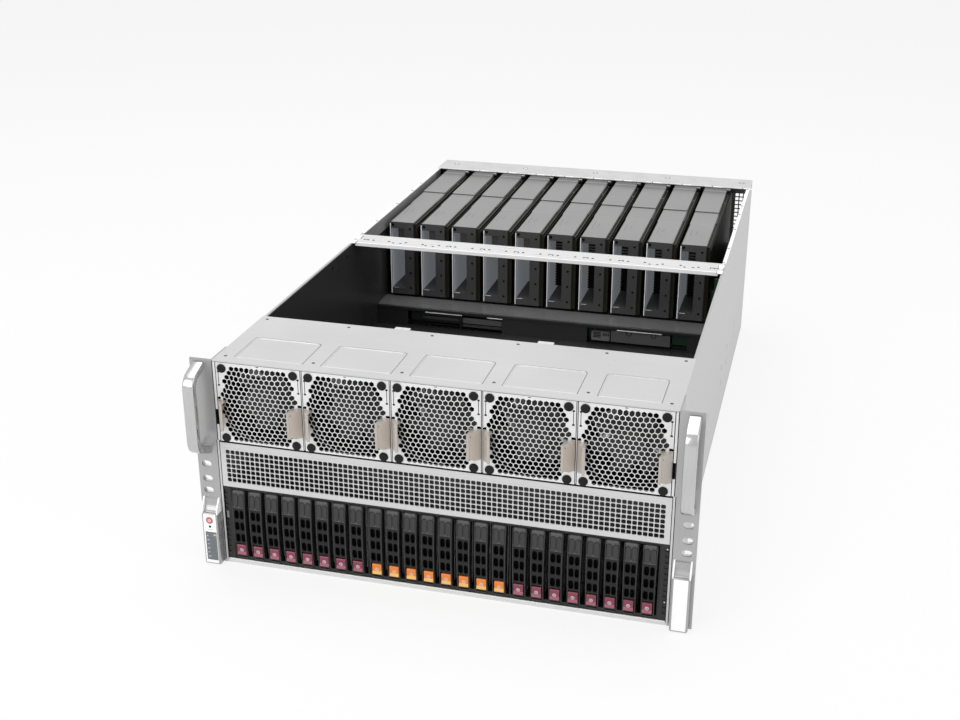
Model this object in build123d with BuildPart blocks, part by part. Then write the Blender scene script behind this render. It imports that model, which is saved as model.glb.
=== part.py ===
from build123d import *
import math
import os

os.makedirs("parts", exist_ok=True)

# A rack server chassis, five units high, with its rear top cover taken off.
# Millimetres. X runs across the rack, +Y towards the rear, +Z up.
# The origin is on the floor under the middle of the whole outline.

# Sheet-metal body
body_width = 437.0
body_height = 217.0
body_depth = 782.0
sheet = 1.2
pan_lip_height = 4.3
wall_hem = 1.5
cover_length = 120.0
slip = 0.3

# Front cover, with its row of shallow pressed panels
press_width = 68.3
press_length = 51.3
press_depth = 0.4
press_setback = 12.5
press_side = 17.5

# Cross brace over the card bay
brace_setback = 376.0
brace_depth = 34.0
brace_lip = 3.0
brace_lip_inset = 9.1
brace_slot_length = 6.0
brace_slot_width = 2.6

# Fans: five pull-out modules side by side
fan_count = 5
fan_pitch = 86.4
fan_axis_drop = 43.2
module_gap = 1.0
module_height = 83.0
module_depth = 98.0
module_skin = 1.0
fan_frame_size = 80.0
fan_frame_depth = 56.0
fan_frame_setback = 4.0
fan_bore_radius = 38.0
fan_hole_spacing = 71.5
bumper_radius = 4.2
bumper_reach = 1.5
grille_pitch = 11.6
grille_rib = 2.2
grille_half_width = 37.0
grille_half_height = 36.0
grille_reach = 57.0
strut_width = 5.0
strut_depth = 6.0

# Rotor in each fan
hub_radius = 17.0
hub_depth = 40.0
blade_count = 7
blade_chord = 25.0
blade_thickness = 1.8
blade_tip_gap = 1.0
root_pitch = 48.0
tip_pitch = 28.0

# Squeeze latches of a fan module
latch_reach = 12.0
latch_lean = 7.8
latch_lip = 3.4
latch_skin = 1.0
latch_height = 31.0
latch_drop = 26.3

# Perforated intake between fans and drives
intake_foot = 85.0
intake_hole = 10.0
intake_pitch = 15.0
intake_margin = 9.0

# Drives: three groups of eight carriers
group_count = 3
group_drive_count = 8
drive_pitch = 17.3
group_pitch = 139.9
carrier_width = 14.6
carrier_foot_width = 12.6
carrier_height = 73.0
bezel_depth = 3.4
carrier_length = 108.0
rail_thickness = 1.3
disk_width = 69.8
disk_thickness = 15.0
disk_length = 100.0
vent_width = 9.4
vent_height = 8.6
vent_pitch = 13.0
vent_top = 21.2
grip_width = 4.2
grip_height = 15.5
grip_spacing = 5.6
grip_top = 3.6
grip_depth = 0.2
face_shift = -0.8
bezel_proud = 0.8
bezel_bulge = 2.4
button_width = 9.6
button_height = 10.8
button_foot = 2.1
button_proud = 1.6
button_seat = 2.2

# Drive cage
cage_floor = 8.2
cage_window_side = 9.0
backplane_thickness = 1.6
cage_rear_gap = 6.1

# Rack ears, handles and end blocks
ear_width = 22.8
ear_thickness = 2.0
ear_flange_length = 34.0
ear_flange_skin = 1.5
slot_inset = 8.75
slot_length = 10.0
slot_width = 6.8
lower_slot_height = 78.1
slot_step_small = 12.7
slot_step_large = 15.875
handle_inset = 9.0
handle_width = 11.0
handle_reach = 26.0
handle_bar = 7.2
handle_headroom = 2.5
handle_foot = 118.0
handle_top_slope = 9.4
handle_foot_slope = 13.0
handle_bend = 12.4
block_inset = 11.3
block_width = 16.8
block_reach = 9.2
block_front_height = 57.0
block_back_height = 69.5
button_radius = 2.7
button_height_on_block = 49.7
button_travel = 1.5
power_proud = 0.5
power_length = 4.0
power_clearance = 0.15

# Accelerator cards standing on edge
card_count = 10
card_pitch = 40.64
card_left = 9.1
card_setback = 492.0
card_headroom = 7.6
card_height = 95.6
shroud_width = 32.0
shroud_skin = 1.2
card_board = 1.6
card_backplate = 5.0
window_width = 16.0
window_inset = 2.0
window_foot = 8.2
window_head = 8.4
seam_setback = 143.0
seam_width = 1.4
seam_depth = 0.8
step_setback = 88.0
step_inset = 1.0
step_drop = 0.8
fin_setback = 70.0
fin_length = 190.0
fin_count = 10
fin_thickness = 1.6
edge_finger_length = 89.0
edge_finger_setback = 150.0
edge_finger_height = 11.0
bracket_thickness = 1.2

# Board under the cards, and the black air guide
tray_gap = 4.0
baseboard_drop = 25.8
baseboard_thickness = 2.0
connector_height = 11.0
connector_width = 7.5
shelf_gap = 3.3
shelf_setback = 457.0
shelf_length = 160.0
cutout_width = 122.0
cutout_height = 20.0
cutout_offset = 114.5
power_board_width = 15.0
power_board_height = 62.0
side_guide_skin = 1.2
side_guide_headroom = 1.5

# Mainboard bay
board_height = 9.0
board_thickness = 2.0
board_setback = 150.0
board_length = 350.0
post_inset = 20.0
io_width = 96.0
io_depth = 32.0
io_height = 28.0
cooler_width = 78.0
cooler_length = 108.0
cooler_headroom = 12.7
cooler_spacing = 190.0
cooler_fins = 9
cooler_fin_thickness = 2.0
cooler_base = 8.0
memory_length = 133.0
memory_height = 31.0
memory_thickness = 4.0
memory_pitch = 9.0
bank_module_count = 6

# Power supplies
supply_count = 4
supply_width = 73.5
supply_height = 40.0
supply_length = 265.0
supply_pitch = 80.0
supply_left = 6.0
supply_grip_reach = 18.0
supply_grip_height = 30.0
supply_grip_width = 8.0
supply_grip_bar = 4.0
supply_vent_radius = 17.0
supply_vent_depth = 2.0
inlet_width = 18.0
inlet_height = 24.0
inlet_inset = 12.0

# Rear panel
rear_flange_depth = 47.0
rear_window_side = 3.0
rear_window_head = 6.0
port_width = 14.0
port_height = 12.0
port_count = 4
exhaust_hole = 4.2
exhaust_pitch = 5.6
exhaust_columns = 3
exhaust_rows = 13
exhaust_side = 4.0

# Rail slots in the side walls: distances from the front and heights
rail_slot_width = 3.0
rail_slot_length = 8.0
rail_slot_setbacks = (309.0, 455.0, 524.0, 616.0)
rail_slot_low = 51.0
rail_slot_rise = 20.0

# Places worked out from the sizes above
front_y = handle_reach - (handle_reach + body_depth + supply_grip_reach) / 2
rear_y = front_y + body_depth
half_width = body_width / 2
inner_half = half_width - sheet
lid_underside = body_height - sheet
module_width = fan_pitch - module_gap
cage_length = carrier_length + slip + backplane_thickness + cage_rear_gap
fan_axis_height = body_height - fan_axis_drop
latch_foot = fan_axis_height - latch_drop
ear_span = body_width + 2 * ear_width
slot_span = ear_span - 2 * slot_inset
handle_span = ear_span - 2 * handle_inset
block_span = ear_span - 2 * block_inset
handle_top = body_height - handle_headroom
card_top = body_height - card_headroom
card_foot = card_top - card_height
shelf_height = card_foot - shelf_gap
baseboard_height = card_foot - baseboard_drop
tray_height = baseboard_height - tray_gap
deck_top = fan_axis_height - module_height / 2 - slip
fan_axis_y = front_y + fan_frame_setback + fan_frame_depth / 2
card_left_x = -inner_half + card_left
card_width = shroud_width + card_board + card_backplate
card_front_y = front_y + card_setback
card_rear_y = rear_y - sheet - bracket_thickness - 2 * slip
brace_front_y = front_y + brace_setback
supply_front_y = rear_y - supply_length
supply_foot = sheet + slip
carrier_foot = cage_floor + slip
cage_top = carrier_foot + carrier_height + slip


def upright(y):
    """A plane across the chassis at depth y, with local x as +X and local y as +Z."""
    return Plane(origin=(0, y, 0), x_dir=(1, 0, 0), z_dir=(0, -1, 0))


def block(x0, x1, y0, y1, z0, z1, mode=Mode.ADD):
    """A rectangular block between two corners, in the part being built."""
    with Locations(((x0 + x1) / 2, (y0 + y1) / 2, (z0 + z1) / 2)):
        Box(x1 - x0, y1 - y0, z1 - z0, mode=mode)


def save(part, name):
    """Label a finished piece and write its STEP file."""
    part.label = name
    export_step(part, f"parts/{name}.step")


def save_copy(part, name, offset):
    """Write a copy of a repeated piece, moved by an offset."""
    save(part.moved(Location(offset)), name)


def centred_steps(count, pitch):
    """Places along a row of equal steps whose middle is at zero."""
    return [pitch * (index - (count - 1) / 2) for index in range(count)]


# Bottom pan with its turned-up front lip and the posts that carry the mainboard
post_x = body_width * 0.44
post_depths = (post_inset, board_length - post_inset)
with BuildPart() as base_pan:
    with BuildSketch():
        with Locations((0, (front_y + rear_y) / 2)):
            Rectangle(body_width, body_depth)
    extrude(amount=sheet)
    block(-inner_half, inner_half, front_y, front_y + sheet, sheet, pan_lip_height)
    with BuildSketch(Plane.XY.offset(sheet)):
        for depth in post_depths:
            with Locations(*[(x, front_y + board_setback + depth) for x in (-post_x, 0, post_x)]):
                RegularPolygon(radius=3.5, side_count=6)
    extrude(amount=board_height - sheet)
save(base_pan.part, "base_pan")

# Side walls: tall sheets with a narrow hem along the top behind the front cover
with BuildPart() as side_walls:
    for side in (-1, 1):
        with BuildSketch(Plane.YZ.offset(side * half_width)):
            with Locations(((front_y + rear_y) / 2, (sheet + lid_underside) / 2)):
                Rectangle(body_depth, lid_underside - sheet)
            for setback in rail_slot_setbacks:
                for rise in (0, rail_slot_rise):
                    with Locations((front_y + setback, rail_slot_low + rise)):
                        Rectangle(rail_slot_width, rail_slot_length, mode=Mode.SUBTRACT)
        extrude(amount=-side * sheet)
        hem_x = sorted((side * inner_half, side * (inner_half - wall_hem)))
        block(*hem_x, front_y + cover_length, rear_y - sheet, lid_underside - sheet, lid_underside)
save(side_walls.part, "side_walls")

# Rear panel: windows for cards, power supplies and ports, and a wide top flange
supply_x = [-inner_half + supply_left + supply_width / 2 + supply_pitch * i for i in range(supply_count)]
card_x = [card_left_x + card_pitch * i for i in range(card_count)]
io_right_x = inner_half - 4 * slip
io_middle_x = io_right_x - io_width / 2
exhaust_x = inner_half - exhaust_side - exhaust_pitch * exhaust_columns / 2
with BuildPart() as rear_panel:
    with BuildSketch(upright(rear_y)):
        with Locations((0, (sheet + lid_underside) / 2)):
            Rectangle(2 * inner_half, lid_underside - sheet)
        for x in card_x:
            with Locations((x + card_width / 2, (card_top + card_foot) / 2)):
                Rectangle(
                    card_width - 2 * rear_window_side,
                    card_top - card_foot - 2 * rear_window_head,
                    mode=Mode.SUBTRACT,
                )
        for x in supply_x:
            with Locations((x, supply_foot + supply_height / 2)):
                Rectangle(supply_width + 2 * slip, supply_height + 2 * slip, mode=Mode.SUBTRACT)
        for step in centred_steps(port_count, port_width * 1.5):
            with Locations((io_middle_x + step, board_height + board_thickness + io_height / 2)):
                Rectangle(port_width, port_height, mode=Mode.SUBTRACT)
        for x in centred_steps(14, 2 * intake_pitch):
            with Locations((x, (supply_foot + supply_height + tray_height) / 2)):
                Rectangle(2 * intake_hole, intake_hole, mode=Mode.SUBTRACT)
        with Locations((exhaust_x, (card_top + card_foot) / 2)):
            with GridLocations(exhaust_pitch, exhaust_pitch, exhaust_columns, exhaust_rows):
                Rectangle(exhaust_hole, exhaust_hole, mode=Mode.SUBTRACT)
    extrude(amount=sheet)
    block(-half_width, half_width, rear_y - rear_flange_depth, rear_y, lid_underside, body_height)
save(rear_panel.part, "rear_panel")

# Front part of the lid, with five shallow pressed panels
with BuildPart() as front_top_cover:
    block(-half_width, half_width, front_y, front_y + cover_length, lid_underside, body_height)
    with BuildSketch(Plane.XY.offset(body_height)):
        for index in range(fan_count):
            press_left = -half_width + press_side + fan_pitch * index
            press_right = min(press_left + press_width, half_width - press_side + 1.0)
            with Locations(((press_left + press_right) / 2, front_y + press_setback + press_length / 2)):
                Rectangle(press_right - press_left, press_length)
    extrude(amount=-press_depth, mode=Mode.SUBTRACT)
save(front_top_cover.part, "front_top_cover")

# Cross brace: a shallow channel with a slot and a hole over each card
brace_half = half_width - 2.0
brace_lip_half = inner_half - brace_lip_inset
with BuildPart() as cross_brace:
    block(-brace_half, brace_half, brace_front_y, brace_front_y + brace_depth, lid_underside, body_height)
    for lip_y in (brace_front_y, brace_front_y + brace_depth - sheet):
        block(-brace_lip_half, brace_lip_half, lip_y, lip_y + sheet, lid_underside - brace_lip, lid_underside)
    with BuildSketch(Plane.XY.offset(body_height)):
        for x in card_x:
            with Locations((x + shroud_width / 2, brace_front_y + brace_depth * 0.36)):
                Rectangle(brace_slot_length, brace_slot_width)
            with Locations((x + shroud_width / 2 + 2 * brace_slot_length, brace_front_y + brace_depth * 0.6)):
                Rectangle(brace_slot_width, brace_slot_width)
    extrude(amount=-sheet, mode=Mode.SUBTRACT)
save(cross_brace.part, "cross_brace")

# Intake panel: a perforated face folded back into the deck that the fans slide on
intake_columns = int((2 * (inner_half - intake_margin)) // intake_pitch)
intake_rows = int((deck_top - intake_foot - intake_margin) // intake_pitch)
with BuildPart() as intake_panel:
    with BuildSketch(upright(front_y)):
        with Locations((0, (intake_foot + deck_top) / 2)):
            Rectangle(2 * (inner_half - slip), deck_top - intake_foot)
        with Locations((0, (intake_foot + deck_top) / 2)):
            with GridLocations(intake_pitch, intake_pitch, intake_columns, intake_rows):
                Rectangle(intake_hole, intake_hole, mode=Mode.SUBTRACT)
    extrude(amount=-sheet)
    deck_rear_y = front_y + cover_length - sheet
    block(slip - inner_half, inner_half - slip, front_y, deck_rear_y, deck_top - sheet, deck_top)
save(intake_panel.part, "intake_panel")

# Frame behind the fans: an opening for each module and two tabs for the rear lid
frame_y = front_y + cover_length
fan_window = 2 * fan_bore_radius
with BuildPart() as fan_bay_frame:
    with BuildSketch(upright(frame_y)):
        with Locations((0, (deck_top - sheet + lid_underside) / 2)):
            Rectangle(2 * (inner_half - slip), lid_underside - deck_top + sheet)
        for x in centred_steps(fan_count, fan_pitch):
            with Locations((x, fan_axis_height)):
                Rectangle(fan_window, fan_window, mode=Mode.SUBTRACT)
    extrude(amount=sheet)
    for x in (-fan_pitch * 0.83, fan_pitch * 0.85):
        block(x - 8.0, x + 8.0, frame_y, frame_y + 7.0, lid_underside - sheet, lid_underside)
save(fan_bay_frame.part, "fan_bay_frame")

# Drive cage: floor, roof and sides behind a front frame, with the backplane at its rear
cage_half = inner_half - 2 * slip
window_half = inner_half - cage_window_side
cage_front_y = front_y + sheet + slip
with BuildPart() as drive_cage:
    with BuildSketch(upright(cage_front_y)):
        with Locations((0, (pan_lip_height + intake_foot) / 2)):
            Rectangle(2 * cage_half, intake_foot - pan_lip_height - slip)
        with Locations((0, (cage_floor + cage_top) / 2)):
            Rectangle(2 * window_half, cage_top - cage_floor, mode=Mode.SUBTRACT)
    extrude(amount=-sheet)
    for z in (cage_floor - sheet, cage_top):
        block(-cage_half, cage_half, cage_front_y, front_y + cage_length, z, z + sheet)
    for side in (-1, 1):
        side_x = sorted((side * cage_half, side * (cage_half - sheet)))
        block(*side_x, cage_front_y, front_y + cage_length, sheet + slip, cage_top)
    backplane_y = front_y + carrier_length + slip
    block(
        sheet - cage_half,
        cage_half - sheet,
        backplane_y,
        backplane_y + backplane_thickness,
        cage_floor,
        cage_top,
    )
save(drive_cage.part, "drive_cage")

# One drive: a tapered bezel with grips, vents and rails, the disk, and its release button
bezel_top = carrier_foot + carrier_height
bezel_middle = carrier_foot + carrier_height / 2
bezel_end_y = front_y - bezel_proud
bezel_crown_y = bezel_end_y - bezel_bulge
with BuildPart() as drive:
    with BuildSketch(upright(bezel_crown_y)):
        with BuildLine():
            Polyline(
                (-carrier_width / 2, bezel_top),
                (carrier_width / 2, bezel_top),
                (carrier_foot_width / 2, carrier_foot),
                (-carrier_foot_width / 2, carrier_foot),
                close=True,
            )
        make_face()
        for row in range(3):
            with Locations((face_shift, bezel_top - vent_top - vent_height / 2 - vent_pitch * row)):
                Rectangle(vent_width, vent_height, mode=Mode.SUBTRACT)
    extrude(amount=bezel_crown_y - front_y - bezel_depth)
    with BuildSketch(Plane.YZ.offset(-carrier_width / 2)):
        with BuildLine():
            ThreePointArc((bezel_end_y, carrier_foot), (bezel_crown_y, bezel_middle), (bezel_end_y, bezel_top))
            Polyline(
                (bezel_end_y, bezel_top),
                (front_y + bezel_depth, bezel_top),
                (front_y + bezel_depth, carrier_foot),
                (bezel_end_y, carrier_foot),
            )
        make_face()
    extrude(amount=carrier_width, mode=Mode.INTERSECT)
    with BuildSketch(upright(bezel_crown_y)):
        for x in centred_steps(2, grip_spacing):
            with Locations((x + face_shift, bezel_top - grip_top - grip_height / 2)):
                Rectangle(grip_width, grip_height)
    extrude(amount=-bezel_bulge - grip_depth, mode=Mode.SUBTRACT)
    pocket_middle = carrier_foot + button_foot + button_height / 2
    with BuildSketch(upright(bezel_crown_y)):
        with Locations((face_shift, pocket_middle)):
            Rectangle(button_width + slip, button_height + slip)
    extrude(amount=bezel_crown_y - front_y - button_seat, mode=Mode.SUBTRACT)
    for z in (carrier_foot, bezel_top - rail_thickness):
        block(
            -carrier_foot_width / 2,
            carrier_foot_width / 2,
            front_y + bezel_depth,
            front_y + carrier_length,
            z,
            z + rail_thickness,
        )
    disk_foot = carrier_foot + (carrier_height - disk_width) / 2
    disk_y = front_y + carrier_length - disk_length
    block(-disk_thickness / 2, disk_thickness / 2, disk_y, disk_y + disk_length, disk_foot, disk_foot + disk_width)
    block(
        face_shift - button_width / 2,
        face_shift + button_width / 2,
        bezel_end_y - button_proud,
        front_y + button_seat - slip,
        pocket_middle - button_height / 2,
        pocket_middle + button_height / 2,
    )
drive_x = [
    group + step
    for group in centred_steps(group_count, group_pitch)
    for step in centred_steps(group_drive_count, drive_pitch)
]
for index, x in enumerate(drive_x, start=1):
    save_copy(drive.part, f"drive_{index:02d}", (x, 0, 0))

# Grille holes: a honeycomb inside an octagon
grille_row = grille_pitch * math.sqrt(3) / 2
grille_rows = int(grille_half_height // grille_row)
grille_places = []
for row in range(-grille_rows, grille_rows + 1):
    shift = grille_pitch / 2 if row % 2 else 0.0
    for column in range(-4, 5):
        hole_x = column * grille_pitch + shift
        hole_z = row * grille_row
        if abs(hole_x) <= grille_half_width and abs(hole_x) + abs(hole_z) <= grille_reach:
            grille_places.append((hole_x, fan_axis_height + hole_z))
fan_corners = [
    (x, fan_axis_height + z)
    for x in (-fan_hole_spacing / 2, fan_hole_spacing / 2)
    for z in (-fan_hole_spacing / 2, fan_hole_spacing / 2)
]

# One fan module: perforated box, fan frame with motor struts, four bumpers, two latches
frame_front_y = front_y + fan_frame_setback
frame_rear_y = frame_front_y + fan_frame_depth
with BuildPart() as fan_module:
    with BuildSketch(upright(front_y)):
        with Locations((0, fan_axis_height)):
            Rectangle(module_width, module_height)
        with Locations(*grille_places):
            RegularPolygon((grille_pitch - grille_rib) / math.sqrt(3), 6, rotation=30, mode=Mode.SUBTRACT)
        with Locations(*fan_corners):
            Circle(bumper_radius + slip, mode=Mode.SUBTRACT)
    extrude(amount=-module_skin)
    with BuildSketch(upright(front_y + module_skin)):
        with Locations((0, fan_axis_height)):
            Rectangle(module_width, module_height)
            Rectangle(module_width - 2 * module_skin, module_height - 2 * module_skin, mode=Mode.SUBTRACT)
    extrude(amount=module_skin - module_depth)
    with BuildSketch(upright(frame_front_y)):
        with Locations((0, fan_axis_height)):
            Rectangle(fan_frame_size, fan_frame_size)
            Circle(fan_bore_radius, mode=Mode.SUBTRACT)
    extrude(amount=-fan_frame_depth)
    with BuildSketch(upright(frame_rear_y - strut_depth)):
        with Locations((0, fan_axis_height)):
            Rectangle(strut_width, 2 * fan_bore_radius + 1.0)
            Rectangle(2 * fan_bore_radius + 1.0, strut_width)
            Circle(hub_radius)
    extrude(amount=-strut_depth)
    with BuildSketch(upright(front_y - bumper_reach)):
        with Locations(*fan_corners):
            Circle(bumper_radius)
    extrude(amount=slip - bumper_reach - fan_frame_setback)
    for side in (-1, 1):
        root_x = side * (module_width / 2 - slip)
        tip_x = root_x - side * latch_lean
        tip_y = front_y - latch_reach
        with BuildSketch(Plane.XY.offset(latch_foot)):
            with BuildLine():
                Polyline((root_x, front_y - slip), (tip_x, tip_y), (tip_x - side * latch_lip, tip_y))
            trace(line_width=latch_skin)
        extrude(amount=latch_height)
        with BuildSketch(Plane.XY.offset(latch_foot + latch_height - latch_skin)):
            with BuildLine():
                Polyline(
                    (root_x, front_y - slip),
                    (tip_x, tip_y),
                    (tip_x - side, front_y - slip),
                    close=True,
                )
            make_face()
        extrude(amount=latch_skin)
fan_x = centred_steps(fan_count, fan_pitch)
for index, x in enumerate(fan_x, start=1):
    save_copy(fan_module.part, f"fan_module_{index}", (x, 0, 0))

# One rotor: a hub with twisted blades, trimmed to a running gap inside the bore
rotor_radius = fan_bore_radius - blade_tip_gap
rotor_front_y = frame_front_y + 3.0
rotor_rear_y = frame_rear_y - strut_depth - 1.0
blade_y = (rotor_front_y + rotor_rear_y) / 2


def blade_plane(radius, turn, pitch):
    """A plane square to a blade at one radius, its local x along the tilted chord."""
    radial = Vector(math.cos(turn), 0, math.sin(turn))
    around = Vector(-math.sin(turn), 0, math.cos(turn))
    chord = around * math.cos(math.radians(pitch)) + Vector(0, 1, 0) * math.sin(math.radians(pitch))
    centre = Vector(0, blade_y, fan_axis_height) + radial * radius
    return Plane(origin=centre, x_dir=chord, z_dir=radial)


with BuildPart() as fan_rotor:
    for index in range(blade_count):
        turn = 2 * math.pi * index / blade_count
        with BuildSketch(blade_plane(hub_radius - 2.0, turn, root_pitch)):
            Rectangle(blade_chord * 0.6, blade_thickness)
        with BuildSketch(blade_plane(rotor_radius + 1.0, turn, tip_pitch)):
            Rectangle(blade_chord, blade_thickness)
        loft()
    with BuildSketch(upright(rotor_front_y)):
        with Locations((0, fan_axis_height)):
            Circle(rotor_radius)
    extrude(amount=rotor_front_y - rotor_rear_y, mode=Mode.INTERSECT)
    with BuildSketch(upright(rotor_front_y)):
        with Locations((0, fan_axis_height)):
            Circle(hub_radius)
    extrude(amount=-hub_depth)
for index, x in enumerate(fan_x, start=1):
    save_copy(fan_rotor.part, f"fan_rotor_{index}", (x, 0, 0))

# Rack ears: front plates with slotted rack holes, folded back along the side walls
slot_heights = [
    lower_slot_height,
    lower_slot_height + slot_step_small,
    lower_slot_height + slot_step_small + slot_step_large,
]
with BuildPart() as rack_ears:
    for side in (-1, 1):
        with BuildSketch(upright(front_y)):
            ear_middle = side * (ear_span / 2 + half_width) / 2
            with Locations((ear_middle, body_height / 2)):
                Rectangle(ear_span / 2 - half_width, body_height)
            for z in slot_heights:
                with Locations((side * slot_span / 2, z)):
                    SlotOverall(slot_length, slot_width, mode=Mode.SUBTRACT)
        extrude(amount=-ear_thickness)
        flange_x = sorted((side * half_width, side * (half_width + ear_flange_skin)))
        block(*flange_x, front_y, front_y + ear_flange_length, 0, body_height)
save(rack_ears.part, "rack_ears")

# Handles: flat bar bent into a D and cut square at the ears
handle_face_y = front_y - handle_reach + handle_bar / 2
with BuildPart() as rack_handles:
    for side in (-1, 1):
        with BuildSketch(Plane.YZ.offset(side * handle_span / 2 - handle_width / 2)):
            with BuildLine():
                FilletPolyline(
                    (front_y, handle_top - handle_bar / 2),
                    (handle_face_y, handle_top - handle_bar / 2 - handle_top_slope),
                    (handle_face_y, handle_foot + handle_bar / 2 + handle_foot_slope),
                    (front_y, handle_foot + handle_bar / 2),
                    radius=handle_bend,
                )
            trace(line_width=handle_bar)
        extrude(amount=handle_width)
    block(
        -ear_span,
        ear_span,
        front_y,
        front_y + handle_reach,
        0,
        body_height,
        mode=Mode.SUBTRACT,
    )
save(rack_handles.part, "rack_handles")


# Side profile of both end blocks: upright face, sloped top, flat back
block_profile = (
    (front_y, 0),
    (front_y - block_reach, 0),
    (front_y - block_reach, block_front_height),
    (front_y, block_back_height),
)

# Control housing on the left ear, bored for the power button
power_x = -block_span / 2
with BuildPart() as control_housing:
    with BuildSketch(Plane.YZ.offset(power_x - block_width / 2)):
        with BuildLine():
            Polyline(*block_profile, close=True)
        make_face()
    extrude(amount=block_width)
    with BuildSketch(upright(front_y - block_reach)):
        with Locations((power_x, button_height_on_block)):
            Circle(button_radius + power_clearance)
    extrude(amount=-(power_length - power_proud + button_travel), mode=Mode.SUBTRACT)
save(control_housing.part, "control_housing")

# Power button, standing a little proud of the housing
with BuildPart() as power_button:
    with BuildSketch(upright(front_y - block_reach - power_proud)):
        with Locations((power_x, button_height_on_block)):
            Circle(button_radius)
    extrude(amount=-power_length)
save(power_button.part, "power_button")

# Plain end block on the right ear
with BuildPart() as end_block:
    with BuildSketch(Plane.YZ.offset(block_span / 2 - block_width / 2)):
        with BuildLine():
            Polyline(*block_profile, close=True)
        make_face()
    extrude(amount=block_width)
save(end_block.part, "end_block")

# Card shrouds: a skin round each card, open at the rear, with a tall window in front
with BuildPart() as card_shrouds:
    for x in card_x:
        with BuildSketch(upright(card_front_y)):
            with Locations((x + shroud_width / 2, (card_top + card_foot) / 2)):
                Rectangle(shroud_width, card_top - card_foot)
                Rectangle(
                    shroud_width - 2 * shroud_skin,
                    card_top - card_foot - 2 * shroud_skin,
                    mode=Mode.SUBTRACT,
                )
        extrude(amount=card_front_y - card_rear_y)
        with BuildSketch(upright(card_front_y)):
            with Locations((x + shroud_width / 2, (card_top + card_foot) / 2)):
                Rectangle(shroud_width, card_top - card_foot)
            window_middle = (card_top - window_head + card_foot + window_foot) / 2
            window_height = card_top - window_head - card_foot - window_foot
            with Locations((x + window_inset + window_width / 2, window_middle)):
                Rectangle(window_width, window_height, mode=Mode.SUBTRACT)
        extrude(amount=-shroud_skin)
        seam_y = card_front_y + seam_setback
        block(
            x,
            x + shroud_width,
            seam_y,
            seam_y + seam_width,
            card_top - seam_depth,
            card_top,
            mode=Mode.SUBTRACT,
        )
        block(
            x,
            x + step_inset,
            card_front_y,
            card_front_y + step_setback,
            card_top - step_drop,
            card_top,
            mode=Mode.SUBTRACT,
        )
save(card_shrouds.part, "card_shrouds")

# Fin stacks inside the shrouds, level plates joined by a spine
fin_left = shroud_skin + slip
fin_right = shroud_width - shroud_skin - slip
fin_foot = card_foot + shroud_skin + slip
fin_head = card_top - shroud_skin - slip
fin_step = (fin_head - fin_foot - fin_thickness) / (fin_count - 1)
with BuildPart() as card_fins:
    for x in card_x:
        fin_y = card_front_y + fin_setback
        with BuildSketch(upright(fin_y)):
            with Locations((x + fin_right - fin_thickness, (fin_foot + fin_head) / 2)):
                Rectangle(2 * fin_thickness, fin_head - fin_foot)
            for index in range(fin_count):
                with Locations((x + (fin_left + fin_right) / 2, fin_foot + fin_thickness / 2 + fin_step * index)):
                    Rectangle(fin_right - fin_left, fin_thickness)
        extrude(amount=-fin_length)
save(card_fins.part, "card_fins")

# Card boards: circuit board with its edge fingers, and a stiff backplate beside it
finger_rear_y = card_rear_y - (rear_y - card_front_y - edge_finger_setback - edge_finger_length)
finger_front_y = finger_rear_y - edge_finger_length
with BuildPart() as card_boards:
    for x in card_x:
        board_x = x + shroud_width
        with BuildSketch(Plane.YZ.offset(board_x)):
            with BuildLine():
                Polyline(
                    (card_front_y, card_foot),
                    (card_front_y, card_top - 1.0),
                    (card_rear_y, card_top - 1.0),
                    (card_rear_y, card_foot),
                    (finger_rear_y, card_foot),
                    (finger_rear_y, card_foot - edge_finger_height),
                    (finger_front_y, card_foot - edge_finger_height),
                    (finger_front_y, card_foot),
                    close=True,
                )
            make_face()
        extrude(amount=card_board)
        plate_x = board_x + card_board
        block(plate_x, plate_x + card_backplate, card_front_y, card_rear_y, card_foot, card_top - 1.0)
save(card_boards.part, "card_boards")

# Card brackets against the inside of the rear panel, each with two exhaust windows
with BuildPart() as card_brackets:
    with BuildSketch(upright(card_rear_y + slip)):
        for x in card_x:
            with Locations((x + card_width / 2, (card_top + card_foot) / 2)):
                Rectangle(card_width, card_top - card_foot)
            for shift in centred_steps(2, card_width * 0.4):
                with Locations((x + card_width / 2 + shift, (card_top + card_foot) / 2)):
                    Rectangle(card_width * 0.28, (card_top - card_foot) * 0.72, mode=Mode.SUBTRACT)
    extrude(amount=-bracket_thickness)
save(card_brackets.part, "card_brackets")

# Board that the cards plug into, with one slot connector under each card
baseboard_top = baseboard_height + baseboard_thickness
finger_foot = card_foot - edge_finger_height
power_board_x = card_x[-1] + card_width + 4 * slip
power_board_y = card_front_y + 4.0
with BuildPart() as card_baseboard:
    block(
        10 * slip - inner_half,
        inner_half - 10 * slip,
        front_y + shelf_setback + 9.0,
        rear_y - 12.0,
        baseboard_height,
        baseboard_top,
    )
    for x in card_x:
        finger_x = x + shroud_width + card_board / 2
        block(
            finger_x - connector_width / 2,
            finger_x + connector_width / 2,
            finger_front_y - 4.0,
            finger_rear_y + 4.0,
            baseboard_top,
            finger_foot + connector_height - 4.0,
        )
        block(
            finger_x - card_board / 2 - slip,
            finger_x + card_board / 2 + slip,
            finger_front_y - slip,
            finger_rear_y + slip,
            finger_foot - slip,
            finger_foot + connector_height,
            mode=Mode.SUBTRACT,
        )
    block(
        power_board_x,
        power_board_x + power_board_width,
        power_board_y,
        power_board_y + board_thickness,
        baseboard_top,
        baseboard_top + power_board_height,
    )
save(card_baseboard.part, "card_baseboard")

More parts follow.
